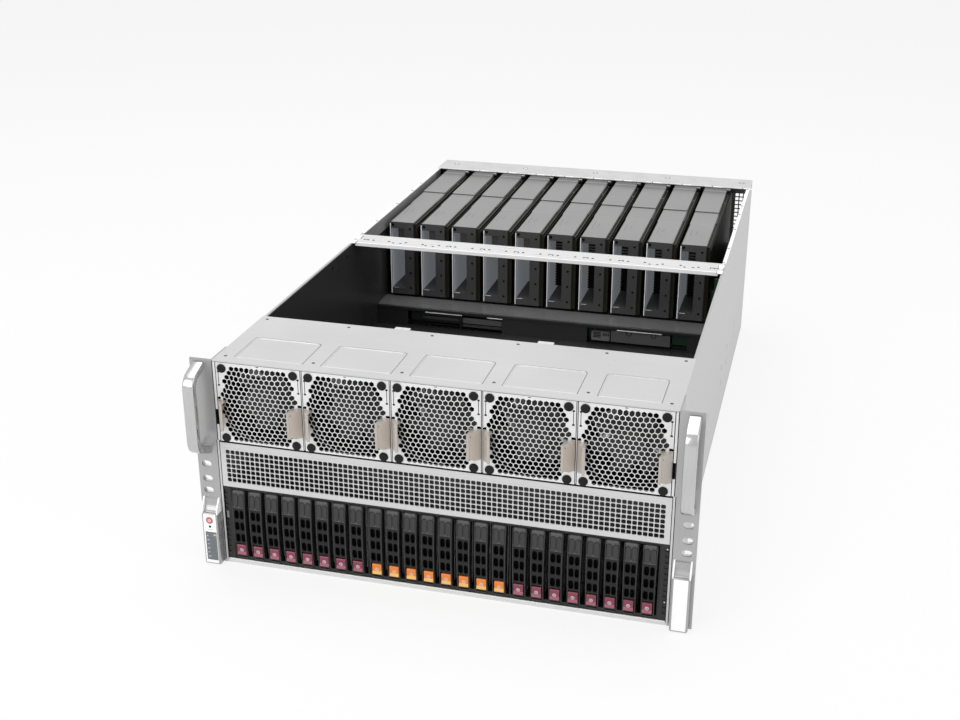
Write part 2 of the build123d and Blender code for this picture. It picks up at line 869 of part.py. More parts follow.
# Black air guide: tray under the card board, front wall with two openings, shelf on top, side linings
guide_half = inner_half - slip
tray_top = tray_height + sheet
wall_y = front_y + shelf_setback
with BuildPart() as air_guide:
    block(-guide_half, guide_half, frame_y + slip, rear_y - sheet - slip, tray_height, tray_top)
    with BuildSketch(upright(wall_y)):
        with Locations((0, (tray_top + shelf_height) / 2)):
            Rectangle(2 * guide_half, shelf_height - tray_top)
        for side in (-1, 1):
            with Locations((side * cutout_offset, shelf_height - 5.0 - cutout_height / 2)):
                Rectangle(cutout_width, cutout_height, mode=Mode.SUBTRACT)
    extrude(amount=-sheet)
    block(-guide_half, guide_half, wall_y, wall_y + shelf_length, shelf_height - sheet, shelf_height)
    block(
        power_board_x - slip,
        power_board_x + power_board_width + slip,
        power_board_y - slip,
        power_board_y + board_thickness + slip,
        shelf_height - sheet,
        shelf_height,
        mode=Mode.SUBTRACT,
    )
    with BuildSketch(Plane.XY.offset(tray_top)):
        with Locations((0, (wall_y + rear_y) / 2)):
            with GridLocations(body_width * 0.88, (rear_y - wall_y) * 0.8, 2, 2):
                RegularPolygon(radius=3.5, side_count=6)
    extrude(amount=baseboard_height - tray_top)
    for side in (-1, 1):
        lining_x = sorted((side * guide_half, side * (guide_half - side_guide_skin)))
        block(
            *lining_x,
            frame_y + sheet + slip,
            rear_y - sheet - slip,
            tray_top,
            lid_underside - side_guide_headroom,
        )
save(air_guide.part, "air_guide")

# Mainboard: an L-shaped board that reaches back to its ports beside the power supplies
board_front_y = front_y + board_setback
board_rear_y = board_front_y + board_length
board_half = inner_half - 10 * slip
board_top = board_height + board_thickness
cooler_height = tray_height - cooler_headroom - board_top - slip
io_left_x = io_right_x - io_width
with BuildPart() as mainboard:
    with BuildSketch(Plane.XY.offset(board_height)):
        with BuildLine():
            Polyline(
                (-board_half, board_front_y),
                (board_half, board_front_y),
                (board_half, rear_y - sheet - slip),
                (io_left_x, rear_y - sheet - slip),
                (io_left_x, board_rear_y),
                (-board_half, board_rear_y),
                close=True,
            )
        make_face()
    extrude(amount=board_thickness)
    for step in centred_steps(port_count, port_width * 1.5):
        port_x = io_middle_x + step
        block(
            port_x - port_width * 0.6,
            port_x + port_width * 0.6,
            rear_y - sheet - slip - io_depth,
            rear_y - sheet - slip,
            board_top,
            board_top + io_height,
        )
save(mainboard.part, "mainboard")

# Processor coolers: a base with upright fins that run with the air
cooler_y = board_front_y + board_length / 2
cooler_fin_step = (cooler_width - cooler_fin_thickness) / (cooler_fins - 1)
with BuildPart() as processor_coolers:
    with BuildSketch(upright(cooler_y - cooler_length / 2)):
        for side in centred_steps(2, cooler_spacing):
            with Locations((side, board_top + slip + cooler_base / 2)):
                Rectangle(cooler_width, cooler_base)
            for step in centred_steps(cooler_fins, cooler_fin_step):
                with Locations((side + step, board_top + slip + cooler_height / 2)):
                    Rectangle(cooler_fin_thickness, cooler_height)
    extrude(amount=-cooler_length)
save(processor_coolers.part, "processor_coolers")

# Memory modules in four banks beside the coolers
with BuildPart() as memory_modules:
    bank_offset = cooler_width / 2 + memory_pitch * (bank_module_count + 1) / 2
    for side in centred_steps(2, cooler_spacing):
        for bank in (-1, 1):
            for step in centred_steps(bank_module_count, memory_pitch * 0.8):
                module_x = side + bank * bank_offset + step
                block(
                    module_x - memory_thickness / 2,
                    module_x + memory_thickness / 2,
                    cooler_y - memory_length / 2,
                    cooler_y + memory_length / 2,
                    board_top + slip,
                    board_top + slip + memory_height,
                )
save(memory_modules.part, "memory_modules")

# One power supply: a long case with a round rear vent, an inlet and a pull strap
supply_top = supply_foot + supply_height
with BuildPart() as power_supply:
    block(-supply_width / 2, supply_width / 2, supply_front_y, rear_y, supply_foot, supply_top)
    with BuildSketch(upright(rear_y)):
        with Locations((-supply_width / 2 + supply_vent_radius + 3.0, supply_foot + supply_height / 2)):
            RegularPolygon(supply_vent_radius, 12)
        with Locations((supply_width / 2 - inlet_inset, supply_foot + supply_height / 2)):
            Rectangle(inlet_width, inlet_height)
    extrude(amount=supply_vent_depth, mode=Mode.SUBTRACT)
    grip_x = supply_vent_radius * 2 + 5.0 - supply_width / 2
    grip_middle = supply_foot + supply_height / 2
    with BuildSketch(Plane.YZ.offset(grip_x)):
        with Locations((rear_y + supply_grip_reach / 2, grip_middle)):
            Rectangle(supply_grip_reach, supply_grip_height)
        with Locations((rear_y + (supply_grip_reach - supply_grip_bar) / 2, grip_middle)):
            Rectangle(
                supply_grip_reach - supply_grip_bar,
                supply_grip_height - 2 * supply_grip_bar,
                mode=Mode.SUBTRACT,
            )
    extrude(amount=supply_grip_width)
for index, x in enumerate(supply_x, start=1):
    save_copy(power_supply.part, f"power_supply_{index}", (x, 0, 0))

print("pieces written", len(os.listdir("parts")))
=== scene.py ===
"""Looks for a five-unit rack server with its rear lid off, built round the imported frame.

Sizes are millimetres along the frame's own axes: X across, +Y to the rear, +Z up. Y is measured from the
server's front face, and piece() moves it to the frame's origin and writes metres.
"""

import logging
import math
from dataclasses import dataclass, field
from enum import Enum

import bpy
import numpy as np
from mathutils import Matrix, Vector


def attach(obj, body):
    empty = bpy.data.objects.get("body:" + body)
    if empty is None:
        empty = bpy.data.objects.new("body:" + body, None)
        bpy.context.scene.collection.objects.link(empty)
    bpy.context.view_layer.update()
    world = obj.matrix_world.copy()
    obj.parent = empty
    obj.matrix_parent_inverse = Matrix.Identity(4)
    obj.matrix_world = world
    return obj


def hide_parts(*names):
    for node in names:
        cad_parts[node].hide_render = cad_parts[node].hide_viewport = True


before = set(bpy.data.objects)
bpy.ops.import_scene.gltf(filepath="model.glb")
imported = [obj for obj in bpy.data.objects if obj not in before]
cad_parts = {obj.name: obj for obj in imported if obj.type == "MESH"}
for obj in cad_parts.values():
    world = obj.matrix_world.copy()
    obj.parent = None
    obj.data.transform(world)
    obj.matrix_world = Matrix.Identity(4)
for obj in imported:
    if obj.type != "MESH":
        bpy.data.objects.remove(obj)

LOG = logging.getLogger("rack_server")
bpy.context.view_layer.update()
FRONT = -387.0
REAR = 782.0
HALF = 218.5
LID = 217.0
FAN_PITCH = 86.4
CARD_PITCH = 40.64
CARD_LEFT = -208.2
METRES = 0.001
CLOUD_SHARE = 0.65
WHITE = (1.0, 1.0, 1.0, 1.0)


class Grain(Enum):
    """How a finish's fine texture runs."""

    ALONG_X = (0.03, 1.0, 1.0)
    ALONG_Y = (1.0, 0.03, 1.0)
    ALONG_Z = (1.0, 1.0, 0.03)
    EVEN = (1.0, 1.0, 1.0)


def feed(tree: bpy.types.NodeTree, node: bpy.types.Node, given: dict) -> None:
    """Set a node's inputs.

    Args:
        tree: tree that holds the node.
        node: the node.
        given: a value, or a socket to link, for each input's name or number.
    """
    for key, value in given.items():
        if isinstance(value, bpy.types.NodeSocket):
            tree.links.new(value, node.inputs[key])
        else:
            node.inputs[key].default_value = value


def add_node(tree: bpy.types.NodeTree, kind: str, given: dict, **settings: object) -> bpy.types.Node:
    """Add a node to a tree.

    Args:
        tree: tree that gets it.
        kind: the node's type.
        given: its inputs, as for feed.
        settings: its other properties, set before the inputs.

    Returns:
        The new node.
    """
    node = tree.nodes.new(kind)
    for name, value in settings.items():
        setattr(node, name, value)
    feed(tree, node, given)
    return node


@dataclass(frozen=True)
class Finish:
    """One finish: tones in linear colour, gloss range, grain and bump, and a glow that adds emission in its
    own tone: painted light, except on the lit lamps.
    """

    name: str
    tone: tuple[float, float, float]
    second: tuple[float, float, float]
    metallic: float = 0.0
    rough: tuple[float, float] = (0.35, 0.5)
    grain: Grain = Grain.EVEN
    scale: float = 900.0
    cloud: float = 9.0
    bump: float = 0.08
    coat: float = 0.0
    glow: float = 0.0
    shine: float = 0.5
    relief: float = 0.0002

    def material(self) -> bpy.types.Material:
        """Build the node material, or return it if it is there already.

        Returns:
            The Blender material of this finish.
        """
        found = bpy.data.materials.get(self.name)
        if found is not None and found.use_nodes and found.get("made"):
            return found
        made = bpy.data.materials.new(self.name)
        made["made"] = True
        made.use_nodes = True
        tree = made.node_tree
        texture = add_node(tree, "ShaderNodeGroup", {}, node_tree=surface_texture_group())
        feed(tree, texture, {
            "Vector": add_node(tree, "ShaderNodeTexCoord", {}).outputs["Object"],
            "Grain Size": self.scale,
            "Cloud Size": self.cloud,
            "Stretch": self.grain.value,
            "First Tone": (*self.tone, 1.0),
            "Second Tone": (*self.second, 1.0),
            "Low Roughness": self.rough[0],
            "High Roughness": self.rough[1],
        })
        relief = add_node(tree, "ShaderNodeBump", {
            "Strength": self.bump, "Distance": self.relief, "Height": texture.outputs["Height"],
        })
        shader = {
            "Metallic": self.metallic,
            "Coat Weight": self.coat,
            "Specular IOR Level": self.shine,
            "Base Color": texture.outputs["Tone"],
            "Roughness": texture.outputs["Roughness"],
            "Normal": relief.outputs["Normal"],
        }
        # Glow is emission in the finish's own tone: painted light on every part that is no lamp.
        if self.glow:
            shader.update({"Emission Color": (*self.tone, 1.0), "Emission Strength": self.glow})
        feed(tree, tree.nodes["Principled BSDF"], shader)
        return made


def surface_texture_group() -> bpy.types.NodeTree:
    """Shared group: fine grain, slow clouds, and the tones and gloss that follow them.

    Returns:
        The node group, built on the first call.
    """
    found = bpy.data.node_groups.get("surface_texture")
    if found is not None:
        return found
    group = bpy.data.node_groups.new("surface_texture", "ShaderNodeTree")
    for name, kind in (("Vector", "Vector"), ("Stretch", "Vector"), ("Grain Size", "Float"),
                       ("Cloud Size", "Float"), ("First Tone", "Color"), ("Second Tone", "Color"),
                       ("Low Roughness", "Float"), ("High Roughness", "Float")):
        group.interface.new_socket(name=name, in_out="INPUT", socket_type=f"NodeSocket{kind}")
    for name, kind in (("Tone", "Color"), ("Roughness", "Float"), ("Height", "Float")):
        group.interface.new_socket(name=name, in_out="OUTPUT", socket_type=f"NodeSocket{kind}")
    given = add_node(group, "NodeGroupInput", {}).outputs
    stretched = add_node(group, "ShaderNodeVectorMath", {0: given["Vector"], 1: given["Stretch"]},
                         operation="MULTIPLY").outputs["Vector"]
    fine = add_node(group, "ShaderNodeTexNoise", {
        "Detail": 3.0, "Vector": stretched, "Scale": given["Grain Size"],
    }).outputs["Fac"]
    cloud = add_node(group, "ShaderNodeTexNoise", {
        "Detail": 4.0, "Vector": given["Vector"], "Scale": given["Cloud Size"],
    }).outputs["Fac"]
    part = add_node(group, "ShaderNodeMath", {0: fine, 1: 1 - CLOUD_SHARE}, operation="MULTIPLY")
    blend = add_node(group, "ShaderNodeMath", {0: cloud, 1: CLOUD_SHARE, 2: part.outputs[0]},
                     operation="MULTIPLY_ADD")
    spread = {"From Min": 0.3, "From Max": 0.7, "Value": blend.outputs[0]}
    share = add_node(group, "ShaderNodeMapRange", spread)
    tone = add_node(group, "ShaderNodeMix", {
        "Factor": share.outputs["Result"], "A": given["First Tone"], "B": given["Second Tone"],
    }, data_type="RGBA")
    gloss = add_node(group, "ShaderNodeMapRange", {
        **spread, "To Min": given["Low Roughness"], "To Max": given["High Roughness"],
    })
    add_node(group, "NodeGroupOutput", {
        "Tone": tone.outputs["Result"], "Roughness": gloss.outputs["Result"], "Height": fine,
    })
    return group


def grey(value: float, warm: float = 0.0) -> tuple[float, float, float]:
    """A grey in linear colour, a little warmer or cooler."""
    return (value * (1 + warm), value, value * (1 - warm))


ZINC = Finish("zinc_sheet_finish", grey(0.56), grey(0.66), 0.75, (0.3, 0.46), Grain.ALONG_Y, 700.0, 14.0)
WALL = Finish("outer_wall_finish", grey(0.5), grey(0.56), 0.55, (0.34, 0.48), Grain.ALONG_Y, 800.0, 7.0)
COVER = Finish("front_cover_finish", grey(0.6), grey(0.67), 0.45, (0.34, 0.46), Grain.ALONG_X, 800.0, 7.0)
BRIGHT = Finish("bright_zinc_finish", grey(0.8), grey(0.88), 0.55, (0.24, 0.36), Grain.ALONG_X, 800.0, 18.0)
FAN_FACE = Finish("fan_face_finish", grey(0.78), grey(0.83), 0.2, (0.36, 0.5), Grain.EVEN, 1400.0, 12.0)
# Grille hole walls and back face: a darker copy of the face sheet, painted shade.
FAN_HOLE_SHADE = Finish("fan_hole_shade_finish", grey(0.3), grey(0.36), 0.3, (0.4, 0.5), Grain.EVEN, 1400.0, 12.0)
INTAKE = Finish("intake_sheet_finish", grey(0.62), grey(0.68), 0.25, (0.36, 0.5), Grain.ALONG_X, 1000.0, 10.0)
EAR = Finish("ear_plate_finish", grey(0.4), grey(0.46), 0.7, (0.28, 0.4), Grain.ALONG_Z, 800.0, 16.0)
HANDLE = Finish("handle_aluminium_finish", grey(0.5), grey(0.6), 0.9, (0.16, 0.26),
                Grain.ALONG_Z, 900.0, 20.0)
RUBBER = Finish("bumper_rubber_finish", grey(0.01), grey(0.015), 0.0, (0.6, 0.75), Grain.EVEN,
                2200.0, 60.0, 0.25, shine=0.2)
LATCH_EDGE = Finish("latch_lip_finish", grey(0.44, 0.09), grey(0.5, 0.09), 0.45, (0.3, 0.4),
                    Grain.ALONG_X, 900.0, 30.0)
LATCH = Finish("latch_sheet_finish", grey(0.56, 0.09), grey(0.63, 0.09), 0.5, (0.32, 0.42),
               Grain.ALONG_X, 900.0, 30.0)
DARK = Finish("black_guide_finish", grey(0.024), grey(0.034), 0.0, (0.25, 0.34), Grain.EVEN, 1500.0, 8.0)
PIT = Finish("deep_black_finish", grey(0.002), grey(0.004), 0.0, (0.7, 0.85), Grain.EVEN,
             1500.0, 20.0, 0.02, shine=0.05)
CAGE = Finish("drive_cage_finish", grey(0.008), grey(0.013), 0.0, (0.4, 0.55), Grain.EVEN, 1500.0, 14.0)
CARRIER_RIM = Finish("carrier_rim_finish", grey(0.026), grey(0.036), 0.0, (0.36, 0.46),
                     Grain.EVEN, 1800.0, 40.0, 0.15)
# Lighter carrier grey for the top bar: painted highlight where the bezel catches light from above.
CARRIER_CROWN_HIGHLIGHT = Finish("carrier_crown_highlight_finish", grey(0.085), grey(0.1), 0.0, (0.36, 0.46),
                       Grain.EVEN, 1800.0, 40.0, 0.15)
PAD = Finish("carrier_pad_finish", grey(0.07), grey(0.085), 0.0, (0.36, 0.46), Grain.EVEN, 1800.0, 40.0, 0.15)
CARRIER = Finish("carrier_plastic_finish", grey(0.011), grey(0.017), 0.0, (0.4, 0.52), Grain.EVEN,
                 1800.0, 40.0, 0.18, shine=0.25)
GRIP = Finish("carrier_grip_finish", grey(0.036), grey(0.044), 0.0, (0.38, 0.5), Grain.EVEN,
              1800.0, 40.0, 0.15, shine=0.35)
# Lighter copies of the button colours for the leaning ledges: painted highlight.
MAROON_LEDGE_HIGHLIGHT = Finish("maroon_ledge_highlight_finish", (0.34, 0.1, 0.15), (0.4, 0.12, 0.18), 0.0,
                      (0.28, 0.38), coat=0.2)
ORANGE_LEDGE_HIGHLIGHT = Finish("orange_ledge_highlight_finish", (0.95, 0.5, 0.12), (0.98, 0.56, 0.16), 0.0,
                      (0.28, 0.38), coat=0.2)
MAROON = Finish("maroon_latch_finish", (0.22, 0.027, 0.06), (0.27, 0.035, 0.075), 0.0, (0.3, 0.4), coat=0.2)
ORANGE = Finish("orange_latch_finish", (0.86, 0.2, 0.012), (0.93, 0.26, 0.02), 0.0, (0.3, 0.4), coat=0.2)
MARK = Finish("button_mark_finish", grey(0.6), grey(0.7), 0.0, (0.4, 0.5))
CARD_TOP = Finish("card_top_finish", grey(0.29), grey(0.34), 0.35, (0.36, 0.46), Grain.ALONG_Y, 900.0, 14.0)
CARD_FRONT = Finish("card_front_finish", grey(0.062), grey(0.078), 0.1, (0.4, 0.5), Grain.EVEN, 1500.0, 18.0)
# Pale blue-grey with glow: painted light that lifts the card's shaded inner side.
CARD_INNER_GLOW = Finish("card_inner_glow_finish", (0.52, 0.55, 0.6), (0.6, 0.63, 0.68), 0.2, (0.3, 0.42),
                    Grain.ALONG_Y, glow=0.17)
SHELF = Finish("shelf_top_finish", grey(0.13), grey(0.17), 0.0, (0.24, 0.32), Grain.EVEN, 1500.0, 8.0)
CARD_MARK = Finish("card_mark_finish", grey(0.2), grey(0.24), 0.2, (0.4, 0.5), Grain.ALONG_Y)
# Card top colour with glow: painted light that cancels the flange's shadow on the card tops.
CARD_TAIL_GLOW = Finish("card_tail_glow_finish", grey(0.29), grey(0.34), 0.2, (0.4, 0.5), Grain.ALONG_Y, glow=0.55)
CARD_STRIP = Finish("card_strip_finish", (0.014, 0.013, 0.008), (0.022, 0.02, 0.013), 0.2,
                    (0.38, 0.5), Grain.ALONG_Y)
FINS = Finish("fin_aluminium_finish", grey(0.45), grey(0.55), 0.85, (0.32, 0.44), Grain.ALONG_Y, 900.0, 30.0)
# Board green, darkened further as painted shade for boards that sit in shadow.
SHADED_GREEN = Finish("green_board_shaded_finish", (0.004, 0.034, 0.015), (0.007, 0.05, 0.02), 0.0, (0.32, 0.45), coat=0.2)
CHIP = Finish("black_component_finish", grey(0.012), grey(0.018), 0.0, (0.4, 0.55))
# Rotor plastic with glow: painted light that lifts the dark inside of the fan holes.
ROTOR_GLOW = Finish("rotor_plastic_glow_finish", grey(0.026), grey(0.032), 0.0, (0.5, 0.6), Grain.EVEN, 1800.0,
               40.0, glow=0.75, shine=0.15)
BLOCK = Finish("end_block_finish", grey(0.4), grey(0.46), 0.6, (0.24, 0.34), Grain.EVEN, 1600.0, 40.0)
LIP = Finish("lower_lip_finish", grey(0.74), grey(0.8), 0.3, (0.3, 0.42), Grain.ALONG_X, 800.0, 18.0)
RAIL = Finish("inner_rail_finish", grey(0.4), grey(0.5), 0.4, (0.3, 0.42), Grain.ALONG_Y)
SHEET = Finish("grey_film_finish", grey(0.12), grey(0.15), 0.0, (0.3, 0.4), Grain.EVEN, 1600.0, 30.0)
# Near-white with glow: painted light that keeps label faces and marks at full white.
LABEL_GLOW = Finish("label_plate_glow_finish", grey(0.92), grey(0.96), 0.0, (0.3, 0.4), Grain.EVEN,
               1600.0, 40.0, 0.03, glow=0.12)
PANEL_MARK = Finish("panel_mark_finish", (0.5, 0.55, 0.62), (0.56, 0.61, 0.68), 0.0, (0.3, 0.4), bump=0.02)
SEAM = Finish("pressed_seam_finish", grey(0.3), grey(0.36), 0.3, (0.36, 0.46), Grain.ALONG_X)
SCREEN = Finish("status_panel_finish", (0.155, 0.172, 0.182), (0.17, 0.19, 0.2), 0.0, (0.25, 0.35), bump=0.02)
RED = Finish("power_red_finish", (0.78, 0.075, 0.07), (0.83, 0.09, 0.08), 0.0, (0.25, 0.35), coat=0.3)
PINK = Finish("power_centre_finish", (0.95, 0.3, 0.3), (0.98, 0.36, 0.36), 0.0, (0.25, 0.35), coat=0.3)
GREEN_LAMP = Finish("green_lamp_finish", (0.34, 0.6, 0.1), (0.38, 0.66, 0.12), 0.0, (0.2, 0.3), glow=0.25)
GREEN_EDGE = Finish("riser_board_finish", (0.004, 0.035, 0.019), (0.006, 0.05, 0.027), 0.0,
                    (0.32, 0.45), coat=0.2)
FLANGE = Finish("rear_flange_finish", grey(0.62), grey(0.74), 0.4, (0.28, 0.42), Grain.EVEN, 700.0, 55.0)
# Near-white with glow: painted highlight on folded edges, tabs, cheeks and flange strips.
PURE_GLOW = Finish("folded_edge_glow_finish", grey(0.93), grey(0.97), 0.1, (0.3, 0.4), Grain.ALONG_X,
              900.0, 20.0, 0.03, glow=0.15)
STEEL = Finish("screw_steel_finish", grey(0.55), grey(0.7), 0.95, (0.22, 0.34), Grain.EVEN, 900.0, 200.0)
SCREW_DARK = Finish("dark_screw_finish", grey(0.06), grey(0.1), 0.7, (0.3, 0.42), Grain.EVEN, 900.0, 200.0)


class Surface:
    """Collects computed points and faces in millimetres and turns them into one mesh."""

    def __init__(self) -> None:
        """Start empty."""
        self.points: list[np.ndarray] = []
        self.faces: list[list[int]] = []
        self.marks: list[int] = []
        self.smooth: list[bool] = []
        self.finishes: list[Finish] = []
        self.count = 0

    def add(self, points: np.ndarray, faces: list, finish: Finish, smooth: bool = False) -> None:
        """Add one computed patch.

        Args:
            points: N by 3 positions.
            faces: lists of point numbers within the patch.
            finish: what the patch is made of.
            smooth: whether its faces shade smoothly.
        """
        if finish not in self.finishes:
            self.finishes.append(finish)
        start = self.count
        self.points.append(np.asarray(points, float).reshape(-1, 3))
        self.faces.extend([[start + index for index in face] for face in faces])
        self.marks.extend([self.finishes.index(finish)] * len(faces))
        self.smooth.extend([smooth] * len(faces))
        self.count += len(self.points[-1])

    def merge(self, other: "Surface", shift: tuple[float, float, float]) -> None:
        """Add all of another surface, moved by shift.

        Args:
            other: surface to add.
            shift: how far it is moved.
        """
        for finish in other.finishes:
            if finish not in self.finishes:
                self.finishes.append(finish)
        start = self.count
        self.points.extend(points + np.array(shift) for points in other.points)
        self.faces.extend([[start + index for index in face] for face in other.faces])
        self.marks.extend(self.finishes.index(other.finishes[mark]) for mark in other.marks)
        self.smooth.extend(other.smooth)
        self.count += other.count

    def piece(self, name: str, body: str, slot: str, nodes: tuple[str, ...] = ()) -> bpy.types.Object:
        """Make the mesh object, in metres, and fasten it to its body.

        Args:
            name: object name.
            body: CAD body that it rides on.
            slot: the record's material slot; not used.
            nodes: CAD nodes that it stands for.

        Returns:
            The new object.
        """
        mesh = bpy.data.meshes.new(name)
        mesh.from_pydata(((np.vstack(self.points) + (0.0, FRONT, 0.0)) * METRES).tolist(), [], self.faces)
        for finish in self.finishes:
            mesh.materials.append(finish.material())
        mesh.polygons.foreach_set("material_index", np.array(self.marks, np.int32))
        mesh.polygons.foreach_set("use_smooth", np.array(self.smooth, bool))
        mesh.update()
        made = bpy.data.objects.new(name, mesh)
        bpy.context.scene.collection.objects.link(made)
        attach(made, body)
        if nodes:
            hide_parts(*nodes)
        LOG.info("%s: %d faces on %s", name, len(self.faces), body)
        return made


CORNERS = np.array([[(corner >> axis & 1) * 2 - 1 for axis in range(3)] for corner in range(8)], float)


def slab_faces() -> list[list[int]]:
    """Faces of a box with cut edges: 6 sides, 12 edge strips and 8 corner triangles, all facing out.

    Returns:
        Point numbers, where corner c (bits x, y, z) has points 3c, 3c+1, 3c+2 on its x, y and z faces.
    """
    points = (CORNERS[:, None, :] * (1.0 - 0.2 * (1 - np.eye(3))[None])).reshape(-1, 3)
    found = []
    for axis in range(3):
        for sign in (-1, 1):
            ring = [3 * c + axis for c in range(8) if CORNERS[c, axis] == sign]
            found.append([ring[0], ring[1], ring[3], ring[2]])
    for first in range(3):
        second = (first + 1) % 3
        for sign_a in (-1, 1):
            for sign_b in (-1, 1):
                pair = [c for c in range(8) if CORNERS[c, first] == sign_a and CORNERS[c, second] == sign_b]
                found.append([3 * pair[0] + first, 3 * pair[1] + first,
                              3 * pair[1] + second, 3 * pair[0] + second])
    found.extend([[3 * c, 3 * c + 1, 3 * c + 2] for c in range(8)])
    faces = []
    for face in found:
        spot = points[face]
        normal = np.cross(spot[1] - spot[0], spot[2] - spot[1])
        faces.append(face if normal @ spot.mean(0) > 0 else face[::-1])
    return faces


SLAB_FACES = slab_faces()


def slab(target: Surface, low: tuple, high: tuple, finish: Finish, cut: float = 0.25) -> None:
    """Add a box between two corners whose edges are cut at 45 degrees.

    Each corner point is the box's corner, pulled in by the cut along two of its three axes.

    Args:
        target: surface that gets it.
        low: lowest corner.
        high: highest corner.
        finish: its finish.
        cut: how much the edges are cut.
    """
    low, high = np.minimum(low, high).astype(float), np.maximum(low, high).astype(float)
    cut = min(cut, float((high - low).min()) * 0.3)
    middle, half = (low + high) / 2, (high - low) / 2
    points = middle + CORNERS[:, None, :] * (half - cut * (1 - np.eye(3))[None])
    target.add(points.reshape(-1, 3), SLAB_FACES, finish)


def prism(target: Surface, outline: np.ndarray, axis: int, start: float, end: float, finish: Finish) -> None:
    """Add a straight prism: an outline in the two other axes carried along one axis.

    Args:
        target: surface that gets it.
        outline: N by 2 points, in the order of the two axes left over.
        axis: 0, 1 or 2.
        start: where it begins on that axis.
        end: where it ends.
        finish: its finish.
    """
    outline = np.asarray(outline, float)
    others = [a for a in range(3) if a != axis]
    number = len(outline)
    points = np.zeros((2 * number, 3))
    points[:number, others] = outline
    points[number:, others] = outline
    points[:number, axis] = start
    points[number:, axis] = end
    following = np.roll(outline, -1, 0)
    area = float((outline[:, 0] * following[:, 1] - following[:, 0] * outline[:, 1]).sum())
    turned_over = (area > 0) != ((end > start) != (axis == 1))
    near = list(range(number))
    walls = [[i, (i + 1) % number, number + (i + 1) % number, number + i] for i in near]
    caps = [near[::-1], [number + i for i in near]]
    faces = [face[::-1] if turned_over else face for face in caps + walls]
    target.add(points, faces, finish)


def turned(target: Surface, profile: list, axis: int, centre: tuple, finish: Finish, steps: int = 20,
           smooth: bool = True) -> None:
    """Add a turned form: a profile of radius and height swung round an axis through centre.

    Point (i, j) is centre + height_i along the axis + radius_i (cos, sin) of step j in the other two axes.

    Args:
        target: surface that gets it.
        profile: pairs of radius and height, from one pole to the other.
        axis: 0, 1 or 2.
        centre: a point on the axis.
        finish: its finish.
        steps: how many steps round.
        smooth: whether it shades smoothly.
    """
    rows = np.asarray(profile, float)
    angle = np.linspace(0, 2 * math.pi, steps, endpoint=False)
    first, second = [(1, 2), (2, 0), (0, 1)][axis]
    points = np.zeros((len(rows), steps, 3))
    points[..., first] = rows[:, :1] * np.cos(angle)
    points[..., second] = rows[:, :1] * np.sin(angle)
    points[..., axis] = rows[:, 1:]
    points += np.array(centre)
    number = np.arange(len(rows) * steps).reshape(len(rows), steps)
    number[rows[:, 0] < 1e-6] = number[rows[:, 0] < 1e-6][:, :1]
    quads = ring_quads(number)
    rising = rows[-1, 1] > rows[0, 1]
    faces = [list(dict.fromkeys(face if rising else face[::-1])) for face in quads.tolist()]
    target.add(points.reshape(-1, 3), [face for face in faces if len(face) > 2], finish, smooth)


def holed_plate(target: Surface, first: np.ndarray, second: np.ndarray, open_cells: np.ndarray, front: float,
                back: float, finish: Finish) -> None:
    """Add an upright plate on a grid of lines, with some grid cells left open.

    Closed cells give a front and a back face, and each border between a closed and an open cell gives a wall.

    Args:
        target: surface that gets it.
        first: the lines' places along X.
        second: the lines' places along Z.
        open_cells: True where a cell is a hole.
        front: the front face's y.
        back: the back face's y.
        finish: its finish.
    """
    columns, rows = len(first), len(second)
    points = np.zeros((2, columns, rows, 3))
    points[..., 0] = first[None, :, None]
    points[..., 2] = second[None, None, :]
    points[0, ..., 1] = front
    points[1, ..., 1] = back
    number = np.arange(2 * columns * rows).reshape(2, columns, rows)
    keep = ~open_cells
    solid = np.pad(keep, 1)
    corner = [number[:, :-1, :-1], number[:, 1:, :-1], number[:, 1:, 1:], number[:, :-1, 1:]]
    faces = [np.stack([c[0] for c in corner], -1)[keep], np.stack([c[1] for c in corner], -1)[keep][:, ::-1]]
    side_a = np.stack([number[0][:, :-1], number[0][:, 1:], number[1][:, 1:], number[1][:, :-1]], -1)
    side_b = np.stack([number[0][:-1], number[1][:-1], number[1][1:], number[0][1:]], -1)
    for side, near, far in ((side_a, solid[:-1, 1:-1], solid[1:, 1:-1]),
                            (side_b, solid[1:-1, :-1], solid[1:-1, 1:])):
        border = near != far
        walls, flip = side[border], near[border]
        walls[flip] = walls[flip][:, ::-1]
        faces.append(walls)
    target.add(points.reshape(-1, 3), np.vstack(faces).tolist(), finish)


def window_plate(target: Surface, across: tuple, up: tuple, front: float,
                 back: float, finish: Finish) -> None:
    """Add an upright plate with one rectangular opening.

    Args:
        target: surface that gets it.
        across: x of its left edge, of the opening's two sides and of its right edge.
        up: z of its foot, of the opening's two ends and of its top.
        front: the front face's y.
        back: the back face's y.
        finish: its finish.
    """
    cells = np.zeros((3, 3), bool)
    cells[1, 1] = True
    holed_plate(target, np.array(across), np.array(up), cells, front, back, finish)


def square_to(path: np.ndarray) -> np.ndarray:
    """Unit vectors square to a path in a plane.

    Args:
        path: N by 2 points.

    Returns:
        One vector for each point, to the path's left.
    """
    ahead = np.gradient(path, axis=0)
    ahead /= np.linalg.norm(ahead, axis=1)[:, None]
    return np.stack([-ahead[:, 1], ahead[:, 0]], -1)


